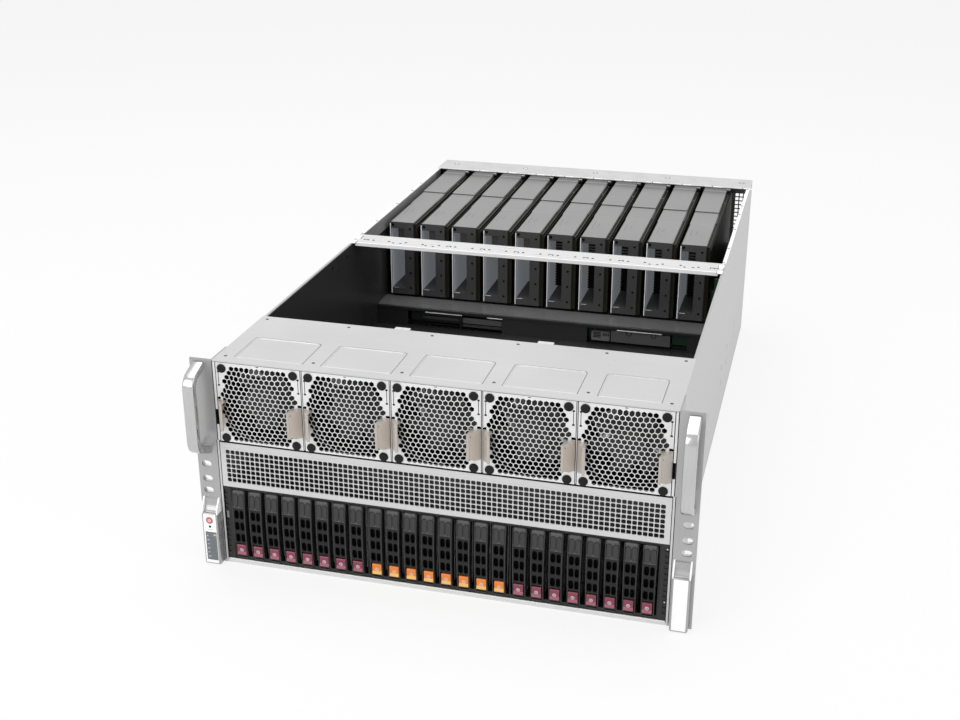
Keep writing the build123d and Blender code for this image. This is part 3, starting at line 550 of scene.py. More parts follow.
def swept_bar(target: Surface, path: np.ndarray, width: float, thick: float, centre_x: float, finish: Finish,
              corner: float) -> None:
    """Add a flat bar carried along a path in the Y-Z plane.

    A rounded rectangle, thick across the path and width along X, is set square to the path at each point.

    Args:
        target: surface that gets it.
        path: N by 2 points of y and z.
        width: size along X.
        thick: size across the path.
        centre_x: middle of the bar on X.
        finish: its finish.
        corner: how round its long edges are.
    """
    turn = np.linspace(0, math.pi / 2, 4)
    quarter = np.stack([np.cos(turn), np.sin(turn)], -1) * corner
    across, along = thick / 2 - corner, width / 2 - corner
    section = np.vstack([
        quarter + (across, along),
        quarter[::-1] * (-1, 1) + (-across, along),
        quarter * (-1, -1) + (-across, -along),
        quarter[::-1] * (1, -1) + (across, -along),
    ])
    points = np.zeros((len(path), len(section), 3))
    points[..., 0] = centre_x + section[None, :, 1]
    points[..., 1:] = path[:, None] + square_to(path)[:, None] * section[None, :, :1]
    loft(target, points, finish, True)


def rounded_path(corners: list, radius: float, steps: int) -> np.ndarray:
    """Points along a polyline whose corners are arcs of one radius.

    Args:
        corners: points in a plane.
        radius: the arcs' radius.
        steps: points on each arc.

    Returns:
        N by 2 points.
    """
    corners = np.asarray(corners, float)
    out = [corners[:1]]
    for before, here, after in zip(corners[:-2], corners[1:-1], corners[2:]):
        back, on = before - here, after - here
        back, on = back / np.linalg.norm(back), on / np.linalg.norm(on)
        half = math.acos(float(np.clip(back @ on, -1, 1))) / 2
        reach = radius / math.tan(half)
        middle = here + (back + on) / np.linalg.norm(back + on) * (radius / math.sin(half))
        start, end = here + back * reach - middle, here + on * reach - middle
        first = math.atan2(start[1], start[0])
        swing = (math.atan2(end[1], end[0]) - first + math.pi) % (2 * math.pi) - math.pi
        turn = first + swing * np.linspace(0, 1, steps)
        out.append(middle + radius * np.stack([np.cos(turn), np.sin(turn)], -1))
    out.append(corners[-1:])
    return np.vstack(out)


def upright(outline: np.ndarray, depth: float) -> np.ndarray:
    """Stand an outline of x and z at one y."""
    return np.insert(outline, 1, depth, axis=1)


def ring_quads(number: np.ndarray) -> np.ndarray:
    """Faces between each row of point numbers and the next, every row closed on itself."""
    after = np.roll(number, -1, 1)
    return np.stack([number[:-1], after[:-1], after[1:], number[1:]], -1).reshape(-1, 4)


def loft(target: Surface, rings: np.ndarray, finish: Finish, smooth: bool = False,
         capped: bool = True) -> None:
    """Add a skin over a row of closed rings, ring i joined to ring i + 1 point by point.

    The faces point outwards where a ring runs anticlockwise seen from the far end.

    Args:
        target: surface that gets it.
        rings: levels by N by 3 points.
        finish: its finish.
        smooth: whether it shades smoothly.
        capped: whether both ends are closed.
    """
    rings = np.asarray(rings, float)
    levels, size = rings.shape[:2]
    quads = ring_quads(np.arange(levels * size).reshape(levels, size))
    target.add(rings.reshape(-1, 3), quads.tolist(), finish, smooth)
    if capped:
        target.add(rings[[0, -1]].reshape(-1, 3),
                   [list(range(size))[::-1], list(range(size, 2 * size))], finish)


def slot_cell(target: Surface, low: tuple, high: tuple, centre: tuple, half: tuple, front: float, back: float,
              finish: Finish, power: float, rays: int = 20) -> None:
    """Add a rectangle of upright plate with one round-cornered hole.

    At angle t the hole's edge lies at (|cos t / a|^n + |sin t / b|^n)^(-1/n) from its middle, and the outer
    point is where the same ray meets the rectangle. Four of the rays go through its corners.

    Args:
        target: surface that gets it.
        low: lowest x and z of the rectangle.
        high: highest x and z.
        centre: x and z of the hole's middle.
        half: a and b, the hole's half sizes.
        front: front face's y.
        back: back face's y.
        finish: its finish.
        power: n, how square the hole is.
        rays: how many rays besides those through the corners.
    """
    corners = [math.atan2(z - centre[1], x - centre[0]) for x in (low[0], high[0]) for z in (low[1], high[1])]
    turn = np.unique(np.round(np.concatenate([np.linspace(-math.pi, math.pi, rays,
                                                          endpoint=False), corners]), 9))
    across, up = np.cos(turn), np.sin(turn)
    inner = (np.abs(across / half[0]) ** power + np.abs(up / half[1]) ** power) ** (-1 / power)
    reach_x = np.where(across > 0, high[0] - centre[0], low[0] - centre[0])
    reach_z = np.where(up > 0, high[1] - centre[1], low[1] - centre[1])
    ray_x = np.where(np.abs(across) > 1e-9, reach_x / np.where(np.abs(across) > 1e-9, across, 1), 1e9)
    ray_z = np.where(np.abs(up) > 1e-9, reach_z / np.where(np.abs(up) > 1e-9, up, 1), 1e9)
    outer = np.minimum(ray_x, ray_z)
    ray = np.stack([across, up], -1)
    rows = ((outer, front), (inner, front), (inner, back))
    rings = np.array([upright(ray * radius[:, None] + centre, depth) for radius, depth in rows])
    loft(target, rings, finish, False, False)


def tube(target: Surface, outer: np.ndarray, inner: np.ndarray, start: float,
         end: float, finish: Finish) -> None:
    """Add a short tube along Y whose section lies between two outlines of x and z, both anticlockwise.

    Args:
        target: surface that gets it.
        outer: outer outline of x and z.
        inner: inner outline.
        start: where it begins on Y.
        end: where it ends.
        finish: its finish.
    """
    rows = ((outer, end), (outer, start), (inner, start), (inner, end), (outer, end))
    loft(target, np.array([upright(outline, depth) for outline, depth in rows]), finish, False, False)


def ribbon(target: Surface, path: np.ndarray, half: float, low: float | np.ndarray, high: float,
           finish: Finish) -> None:
    """Add a ridge or a thin upright sheet on a path: a rectangle set square to the path at each point.

    Args:
        target: surface that gets it.
        path: N by 2 points of x and y.
        half: half its thickness.
        low: z of its foot, one for all points or one for each.
        high: z of its top.
        finish: its finish.
    """
    left = square_to(path) * half
    rings = np.zeros((len(path), 4, 3))
    for corner, (shift, height) in enumerate(((left, low), (left, high), (-left, high), (-left, low))):
        rings[:, corner, :2] = path + shift
        rings[:, corner, 2] = height
    loft(target, rings, finish)


def capsule(width: float, height: float, centre: tuple[float, float]) -> np.ndarray:
    """Outline of an upright slot with round ends.

    Args:
        width: its width.
        height: its whole height.
        centre: its middle.

    Returns:
        N by 2 points.
    """
    radius = width / 2
    turn = np.linspace(0, math.pi, 7)
    cap = np.stack([np.cos(turn), np.sin(turn)], -1) * radius
    return np.vstack([cap + (0, height / 2 - radius), -cap - (0, height / 2 - radius)]) + centre


def disc(target: Surface, place: tuple, radius: float, proud: float, axis: int, finish: Finish,
         sign: float = 1.0, steps: int = 12) -> None:
    """Add a low round button standing proud of a face: a short wall, a bevel and a flat top."""
    profile = [(radius, 0.0), (radius, 0.6 * proud * sign), (radius * 0.86, proud * sign),
               (0.0, proud * sign)]
    turned(target, profile, axis, place, finish, steps, False)


@dataclass
class FanModules:
    """Five pull-out fan modules with honeycomb faces, bumpers and squeeze latches."""

    axis_z: float = 173.8
    field_x: float = -0.3
    field_z: float = 173.9
    rise: float = 3.66
    rise_radius: float = 38.1
    rise_power: float = 10.8
    half_x: float = 42.15
    low_z: float = 133.8
    high_z: float = 215.3
    cell: float = 5.2
    hole: float = 2.6
    outer_line: int = 11
    last_row: int = 8
    waist: int = 4
    sheet: float = 0.8
    depth: float = 98.0
    bore: float = 38.0
    frame_half: float = 40.0
    bumper: float = 35.77
    lean: float = -0.4

    def raised(self, x: np.ndarray, z: np.ndarray) -> np.ndarray:
        """How far the grille stands out: a plateau that falls steeply at its round border."""
        share = np.hypot(x, z - self.field_z) / self.rise_radius
        return self.rise * np.clip(1 - share**self.rise_power, 0, None)

    def face(self, out: Surface) -> None:
        """The perforated face.

        Cell centres lie on rows 4.5 mm apart, every second row moved half a cell. Rows past the waist get
        shorter by half a cell each. A hole cell is a ring between its own six corners and the hole's six, and
        a closed cell is six triangles round its middle. Points outside the face are pulled onto its border,
        so the cells cover it exactly. Each point's y follows the raised field.

        Args:
            out: surface that gets it.
        """
        lines = np.arange(-self.outer_line, self.outer_line + 1)
        row, column = (a.ravel() for a in np.meshgrid(lines, lines, indexing="ij"))
        x = (column + 0.5 * (row % 2)) * self.cell
        z = row * self.cell * math.sqrt(3) / 2
        away = np.abs(row)
        reach = np.where(row % 2 == 0, 7.0, 6.5)
        reach = np.where(away > self.waist, 5.0 + 0.5 * (self.last_row - away), reach)
        reach = np.where(away == self.waist, 6.0, reach) * self.cell
        is_hole = (away <= self.last_row) & (np.abs(x) <= reach + 0.1)
        turn = np.radians(30 + 60 * np.arange(6))
        ring = np.stack([np.cos(turn), np.sin(turn)], -1)
        limits = (-self.half_x, self.low_z), (self.half_x, self.high_z)
        middle = np.stack([x + self.field_x, z + self.field_z], -1)
        outer = np.clip(middle[:, None] + ring * self.cell / math.sqrt(3), *limits)
        inner = middle[:, None] + ring * self.hole
        middle = np.clip(middle, *limits)
        following = np.roll(np.arange(6), -1)
        cells = np.concatenate([outer[is_hole], inner[is_hole]], 1)
        base = 12 * np.arange(len(cells))[:, None]
        quads = np.stack([np.arange(6) + base, following + base, following + 6 + base,
                          np.arange(6) + 6 + base], -1)
        closed = np.concatenate([middle[~is_hole][:, None], outer[~is_hole]], 1)
        base = 7 * np.arange(len(closed))[:, None]
        fans = np.stack([np.zeros(6, int) + base, np.arange(6) + 1 + base, following + 1 + base],
                        -1).reshape(-1, 3)
        spot = closed.reshape(-1, 2)[fans]
        side_a, side_b = spot[:, 1] - spot[:, 0], spot[:, 2] - spot[:, 0]
        fans = fans[np.abs(side_a[:, 0] * side_b[:, 1] - side_a[:, 1] * side_b[:, 0]) > 1e-4]
        for depth, flip in ((0.0, False), (self.sheet, True)):
            self._plane(out, cells, quads.reshape(-1, 4), depth, flip)
            self._plane(out, closed, fans, depth, flip)
        holes = inner[is_hole]
        lift = self.raised(holes[..., 0], holes[..., 1])
        points = np.zeros((len(holes), 2, 6, 3))
        points[..., 0] = holes[:, None, :, 0]
        points[..., 2] = holes[:, None, :, 1]
        points[:, 0, :, 1] = -lift
        points[:, 1, :, 1] = self.sheet - lift
        # Hole walls take the darker copy of the sheet: painted shade.
        out.add(points.reshape(-1, 3), quads.reshape(-1, 4).tolist(), FAN_HOLE_SHADE)

    def _plane(self, out: Surface, cells: np.ndarray, faces: np.ndarray, depth: float, flip: bool) -> None:
        """Put cells at one depth less the raised field, facing forward, or backward when flip is set.

        Args:
            out: surface that gets it.
            cells: x and z of each cell's points.
            faces: point numbers of each face.
            depth: y of the flat face.
            flip: whether it faces backward.
        """
        flat = cells.reshape(-1, 2)
        points = np.stack([flat[:, 0], depth - self.raised(flat[:, 0], flat[:, 1]), flat[:, 1]], -1)
        # The back face takes the darker copy of the sheet: painted shade.
        out.add(points, (faces[:, ::-1] if flip else faces).tolist(), FAN_HOLE_SHADE if flip else FAN_FACE)

    def housing(self, out: Surface) -> None:
        """Box walls, the fan's square frame with its round bore, and the struts that hold the motor.

        Args:
            out: surface that gets it.
        """
        skin = 1.0
        front, back = self.sheet, self.depth
        for x in (-self.half_x, self.half_x - skin):
            slab(out, (x, front, self.low_z), (x + skin, back, self.high_z), FAN_FACE)
        for z in (self.low_z, self.high_z - skin):
            slab(out, (-self.half_x + skin, front, z), (self.half_x - skin, back, z + skin), FAN_FACE)
        steps, near, strut, far = 48, 4.0, 54.0, 60.0
        turn = np.linspace(0, 2 * math.pi, steps, endpoint=False)
        square = self.frame_half / np.maximum(np.abs(np.cos(turn)), np.abs(np.sin(turn)))
        bore = np.full(steps, self.bore)
        ray = np.stack([np.cos(turn), np.sin(turn)], -1)
        rings = [upright(ray * radius[:, None] + (0, self.axis_z), y)
                 for radius, y in ((square, near), (bore, near), (bore, far), (square, far))]
        number = np.arange(4 * steps).reshape(4, steps)
        quads = ring_quads(np.vstack([number, number[:1]]))[:, ::-1]
        out.add(np.vstack(rings), quads.tolist(), PIT)
        for half_x, half_z in ((self.bore, 2.5), (2.5, self.bore)):
            slab(out, (-half_x, strut, self.axis_z - half_z), (half_x, far, self.axis_z + half_z), CHIP)
        motor = [(0.0, far), (17.0, far), (17.0, strut + 0.2), (0.0, strut + 0.2)]
        turned(out, motor, 1, (0, 0, self.axis_z), CHIP, 28, False)

    def trim(self, out: Surface) -> None:
        """Rubber bumpers, narrow slots and the small dark marks beside them.

        Args:
            out: surface that gets it.
        """
        for x in (self.lean - self.bumper, self.lean + self.bumper):
            for z in (self.axis_z - self.bumper, self.axis_z + self.bumper):
                dome = [(4.3, 0.4), (4.3, -0.9), (4.0, -1.3), (3.2, -1.55), (0.0, -1.6)]
                turned(out, dome, 1, (x, 0.0, z), RUBBER, 24)
        for x in (-39.9, 39.9):
            slab(out, (x - 0.3, -0.06, 192.5), (x + 0.3, 0.4, 205.5), PIT, 0.05)
            for z in (192.2, 205.8):
                slab(out, (x - 1.1, -0.1, z - 0.8), (x + 1.1, 0.4, z + 0.8), PIT, 0.1)
            slab(out, (x - 1.6, -0.06, 179.0), (x + 1.9, 0.4, 180.2), PIT, 0.1)
        slab(out, (-1.3, -0.05, 213.9), (1.3, 0.3, 214.6), PIT, 0.05)

    def latches(self, out: Surface) -> None:
        """Two bent sheet latches: a leaning plate, a lip at its tip and a level gusset that closes the top.

        The plate is carried between an upper and a lower edge, and the lower edge climbs towards the tip.

        Args:
            out: surface that gets it.
        """
        top, foot, half = 177.2, 147.3, 0.4
        for side in (-1, 1):
            root = np.array([side * 41.9, -0.1])
            tip = np.array([side * 34.9 - 0.6, -12.0])
            lip = np.array([side * 32.7 - 0.6, -12.1])
            hem = np.array([side * 33.0 - 0.6, -10.6])
            plate = np.array([root, root * 0.45 + tip * 0.55, tip])
            ribbon(out, plate, half, np.array([foot, foot + 1.2, foot + 4.6]), top, LATCH)
            bend = (tip + lip) / 2 + (0, -0.25)
            ribbon(out, np.array([tip, bend, lip, hem]), half, foot + 2.8, top, LATCH_EDGE)
            gusset = np.array([root, tip, lip, (side * 33.6, -0.1)])
            prism(out, gusset, 2, top - 0.8, top + 0.1, LATCH)
            spot = tip * 0.86 + root * 0.14
            disc(out, (spot[0] - side * 0.3, spot[1] - 0.3, 174.0), 0.8, 0.5, 0, PIT, side)
            slab(out, (side * 35.6, -0.06, top + 0.4), (side * 42.2, 0.3, top + 2.4), PIT, 0.1)

    def build(self) -> None:
        """Make one surface, then a moved copy of it for each module."""
        first = Surface()
        self.face(first)
        self.housing(first)
        self.trim(first)
        self.latches(first)
        for index in range(5):
            whole = Surface()
            whole.merge(first, (FAN_PITCH * (index - 2), 0, 0))
            name = f"fan_module_{index + 1}"
            whole.piece(f"fan_tray_{index + 1}", name, "fan_sheet", (name,))
        self.surround()

    def surround(self) -> None:
        """Bright strips between and beside the modules, and black slabs in the gaps round them: painted
        shade.
        """
        gaps = Surface()
        for index in range(4):
            x = FAN_PITCH * (index - 1.5)
            # Black slab in each gap between modules: painted shade.
            slab(gaps, (x - 0.98, 0.6, 134.2), (x + 0.98, 40.0, 215.0), PIT, 0.05)
            slab(gaps, (x - 0.32, 0.05, 134.2), (x + 0.32, 0.7, 215.2), FAN_FACE, 0.1)
        # Black slab under the modules: painted shade.
        slab(gaps, (-215.2, 0.4, 132.1), (215.2, 1.8, 133.6), PIT, 0.05)
        for side in (-1, 1):
            # The PIT rows at 218.1, 216.8 and 219.5 are painted shadow lines along the ears' edges.
            for near, far, front, back, low, high, finish, cut in (
                (215.75, 217.9, -0.15, 1.0, 134.0, 215.2, FAN_FACE, 0.15),
                (215.4, 218.0, -0.25, 0.5, 151.0, 166.8, PIT, 0.1),
                (218.1, 218.8, -0.1, 0.4, 134.0, 216.5, PIT, 0.05),
                (216.8, 217.4, -0.1, 0.4, 3.0, 134.0, PIT, 0.05),
                (217.5, 219.4, -0.12, 0.5, 1.0, 134.0, COVER, 0.15),
                (219.5, 220.1, -0.1, 0.4, 3.0, 134.0, PIT, 0.05),
            ):
                slab(gaps, (side * near, front, low), (side * far, back, high), finish, cut)
        gaps.piece("fan_surround", "chassis", "black_sheet")


@dataclass
class IntakePanel:
    """Perforated intake between the fans and the drives, with the deck behind it."""

    columns: int = 85
    rows: int = 7
    pitch: float = 4.985
    hole: float = 4.32
    low: float = 85.0
    high: float = 132.0
    field_z: float = 107.55
    half_x: float = 217.0

    def build(self) -> None:
        """A border round the field, then one cell of plate for each round-cornered hole."""
        out = Surface()
        reach_x, reach_z = self.columns * self.pitch / 2, self.rows * self.pitch / 2
        up = (self.low, self.field_z - reach_z, self.field_z + reach_z, self.high)
        window_plate(out, (-self.half_x, -reach_x, reach_x, self.half_x), up, 0.0, 1.0, INTAKE)
        for column in range(self.columns):
            for row in range(self.rows):
                x, z = column * self.pitch - reach_x, self.field_z - reach_z + row * self.pitch
                slot_cell(out, (x, z), (x + self.pitch, z + self.pitch),
                          (x + self.pitch / 2, z + self.pitch / 2),
                          (self.hole / 2, self.hole / 2), 0.0, 1.0, INTAKE, 4.4, 12)
        slab(out, (-self.half_x, 1.0, self.high - 1.2), (self.half_x, 118.8, self.high), ZINC)
        slab(out, (-self.half_x + 4, -0.05, 126.6), (self.half_x - 4, 0.3, 126.8), WALL, 0.05)
        out.piece("intake_grille", "chassis", "fan_sheet", ("intake_panel",))


@dataclass
class DriveCarriers:
    """24 narrow carriers in three groups, with bowed faces, grips, vents and a coloured release button."""

    group_pitch: float = 139.9
    pitch: float = 17.3
    top: float = 81.5
    foot: float = 8.5
    half: float = 6.75
    narrowing: float = 0.09
    shift: float = 0.2
    places: tuple = (-1.1, -0.8, -0.15)
    buttons: tuple = (0.2, 0.6, -0.45)
    proud: float = 0.8
    bulge: float = 2.4
    window: float = 5.55
    sled_half: float = 6.3
    sled_end: float = 108.0
    vents: tuple = ((25.4, 18.7, 31.6), (38.1, 31.6, 44.5), (51.1, 44.5, 57.6))
    button: tuple = (11.0, 22.2)

    def bow(self, height: np.ndarray) -> np.ndarray:
        """How far the face stands out at a height: a parabola, most in the middle."""
        part = (height - (self.top + self.foot) / 2) / (self.top - self.foot) * 2
        return self.proud + self.bulge * (1 - np.clip(part, -1, 1) ** 2)

    def frame(self, out: Surface) -> None:
        """Two upright edges with cut corners, and the bars over the top and under the button.

        Args:
            out: surface that gets it.
        """
        levels = np.linspace(self.foot, self.top, 13)
        inner = self.half - 1.2
        for side in (-1, 1):
            outline = np.array([(self.half, 7.0), (self.half, 0.45), (self.half - 0.35, 0.05),
                                (inner + 0.3, 0.0), (inner, 0.3), (inner, 7.0)])
            rings = np.zeros((len(levels), len(outline), 3))
            rings[..., 0] = outline[:, 0] * side
            rings[..., 1] = outline[:, 1]
            rings[..., 2] = levels[:, None]
            loft(out, rings[:, ::-1] if side > 0 else rings, CARRIER_RIM)
        # Top bar in the lighter grey: painted highlight.
        slab(out, (-inner, 0.0, self.top - 2.2), (inner, 4.0, self.top), CARRIER_CROWN_HIGHLIGHT, 0.5)
        slab(out, (-inner, 1.2, self.foot), (inner, 4.0, self.foot + 1.4), CARRIER_RIM, 0.4)
        slab(out, (-inner, 2.4, self.foot + 1.4), (inner, 3.0, self.foot + 16.5), PIT, 0.1)
        for drop, deep in ((3.3, 1.6), (1.8, 0.6)):
            slab(out, (0.6 - inner, deep, self.foot - drop),
                 (inner - 0.4, deep + 1.6, self.foot - drop + 1.0), CARRIER_RIM, 0.2)

    def face(self, out: Surface) -> None:
        """Front plate with two columns of three round-cornered vents, dark behind.

        Args:
            out: surface that gets it.
        """
        front, back = 0.6, 2.4
        for centre, start, end in self.vents:
            for low, high in ((-self.window, self.shift), (self.shift, self.window)):
                right = low + high > 0
                middle = self.shift + (2.65 if right else -2.65)
                slot_cell(out, (low, self.top - end), (high, self.top - start), (middle, self.top - centre),
                          (2.1 if right else 2.35, 4.75), front, back, CARRIER, 3.4)
        slab(out, (-self.window, front, self.top - 18.7), (self.window, back, self.top - 1.8), CARRIER, 0.1)
        slab(out, (-5.5, 3.4, self.foot + 12), (5.5, 3.8, self.top - 18), PIT, 0.1)

    def grips(self, out: Surface) -> None:
        """Low pad with two upright grips: nested slot outlines that rise to a rim and dip inside it.

        Args:
            out: surface that gets it.
        """
        slab(out, (-5.5, 0.25, self.top - 18.4), (5.5, 0.9, self.top - 1.9), PAD, 0.3)
        for x in (-2.95, 2.95):
            x += self.shift
            # Black outline round each grip, shifted left so it is widest there: painted shadow.
            grip_shadow_outline = capsule(5.4, 14.8, (x - 0.1, self.top - 10.4))
            prism(out, grip_shadow_outline, 1, 0.3, 0.2, PIT)
            rings = []
            for shrink, depth in ((0.0, 0.3), (0.0, -0.25), (0.25, -0.5), (0.6, -0.5), (1.0, -0.32),
                                  (1.4, -0.3)):
                outline = capsule(4.9 - 2 * shrink, 14.2 - 2 * shrink, (x, self.top - 10.4))
                rings.append(upright(outline, depth))
            loft(out, np.array(rings), GRIP, True, False)
            out.add(rings[-1], [list(range(len(rings[-1])))], GRIP)

    def sled(self, out: Surface, x: float) -> None:
        """Rails and the drive itself behind the face, round x.

        Args:
            out: surface that gets it.
            x: its middle on X.
        """
        low, high = x - self.sled_half, x + self.sled_half
        slab(out, (low, 4.0, self.foot), (high, self.sled_end, self.foot + 1.3), CHIP)
        slab(out, (low, 4.0, self.top - 1.3), (high, self.sled_end, self.top), CHIP)
        slab(out, (low + 0.1, 9.0, self.foot + 1.6), (high - 0.1, self.sled_end, self.top - 1.6), ZINC)

    def release(self, out: Surface, x: float, finish: Finish, ledge: Finish) -> None:
        """Release button: an upright face over a ledge that leans out, with a ring mark. The ledge wears a
        lighter copy of the button colour as painted highlight.

        Args:
            out: surface that gets it.
            x: its middle on X.
            finish: its finish.
            ledge: finish of the ledge, a lighter copy of the button colour: painted highlight.
        """
        low, high = self.button
        left, right = x - 4.65, x + 4.65
        upper = np.array([(2.4, low + 3.8), (-0.2, low + 3.8), (-0.1, low + 6.0),
                          (0.1, high - 0.7), (0.7, high), (2.4, high)])
        lower = np.array([(2.4, low), (-0.5, low), (-1.3, low + 0.7), (-0.2, low + 3.8),
                          (2.4, low + 3.8)])
        prism(out, upper, 0, left, right, finish)
        prism(out, lower, 0, left, right, ledge)
        middle = low + 5.6
        ring = [(1.85, 0.1), (1.85, -0.35), (1.2, -0.4), (1.15, 0.1)]
        turned(out, ring, 1, (x, 0.0, middle), MARK, 16, False)
        disc(out, (x, -0.05, middle), 0.65, 0.3, 1, MARK, -1, 8)

    def bowed(self, points: np.ndarray) -> np.ndarray:
        """Bend the flat carrier: y moves out by the bow, fading behind the face, and the foot gets narrower.

        Args:
            points: N by 3 points.

        Returns:
            The bent points.
        """
        bent = points.copy()
        fade = np.clip((8.0 - points[:, 1]) / 4.0, 0, 1)
        bent[:, 1] -= self.bow(points[:, 2]) * fade
        height = np.clip((self.top - points[:, 2]) / (self.top - self.foot), 0, 1)
        edge = np.clip((np.abs(points[:, 0]) - 4.9) / 0.8, 0, 1)
        bent[:, 0] *= 1 - self.narrowing * height * edge
        return bent

    def build(self) -> None:
        """Make the carrier once for each group, then a moved copy for each place."""
        number = 0
        for group, (place_x, button_x) in enumerate(zip(self.places, self.buttons)):
            first = Surface()
            self.frame(first)
            self.face(first)
            self.grips(first)
            self.sled(first, -place_x)
            self.release(first, button_x, *((ORANGE, ORANGE_LEDGE_HIGHLIGHT) if group == 1 else (MAROON, MAROON_LEDGE_HIGHLIGHT)))
            first.points = [self.bowed(points) for points in first.points]
            for place in range(8):
                number += 1
                whole = Surface()
                whole.merge(first,
                            (self.group_pitch * (group - 1) + self.pitch * (place - 3.5) + place_x, 0, 0))
                node = f"drive_{number:02d}"
                whole.piece(f"carrier_{number:02d}", node, "carrier_metal", (node,))


@dataclass
class BayTrim:
    """Slotted black strips and pins at both ends of the drive bay, and the bright lower lip."""

    def build(self) -> None:
        """Strips on a grid with a column of open cells each, pins, group dividers and the lip's top edge."""
        out = Surface()
        middles = 78.7 - 5.9 * np.arange(12)[::-1]
        up = np.concatenate([[4.6], np.stack([middles - 2.1, middles + 2.1], -1).ravel(), [84.6]])
        for side in (-1, 1):
            edges = np.sort(side * np.array([209.6, 213.4, 216.9, 217.2]))
            cells = np.zeros((3, len(up) - 1), bool)
            cells[1, 1::2] = True
            cells[:, -1] = False
            holed_plate(out, edges, up, cells, 0.6, 1.4, CAGE)
            slab(out, (side * 213.0, 3.2, 5.0), (side * 217.0, 3.6, 84.0), PIT, 0.1)
        for z in (24.5, 79.8):
            disc(out, (215.3, 0.6, z), 0.9, 0.6, 1, STEEL, -1)
        slab(out, (-215.4, 0.1, 50.0), (-212.9, 0.8, 57.5), CARD_MARK, 0.2)
        for x in (-69.95, 69.95):
            slab(out, (x - 0.6, 1.4, 6.0), (x + 0.6, 6.0, 83.0), CAGE, 0.1)
        # Lip's top edge in the glowing white finish: painted light.
        slab(out, (-216.8, -0.12, 3.85), (216.8, 1.1, 4.5), LABEL_GLOW, 0.15)
        slab(out, (-209.6, 3.4, 4.5), (209.6, 4.0, 7.4), PIT, 0.1)
        out.piece("drive_bay_trim", "chassis", "black_sheet")


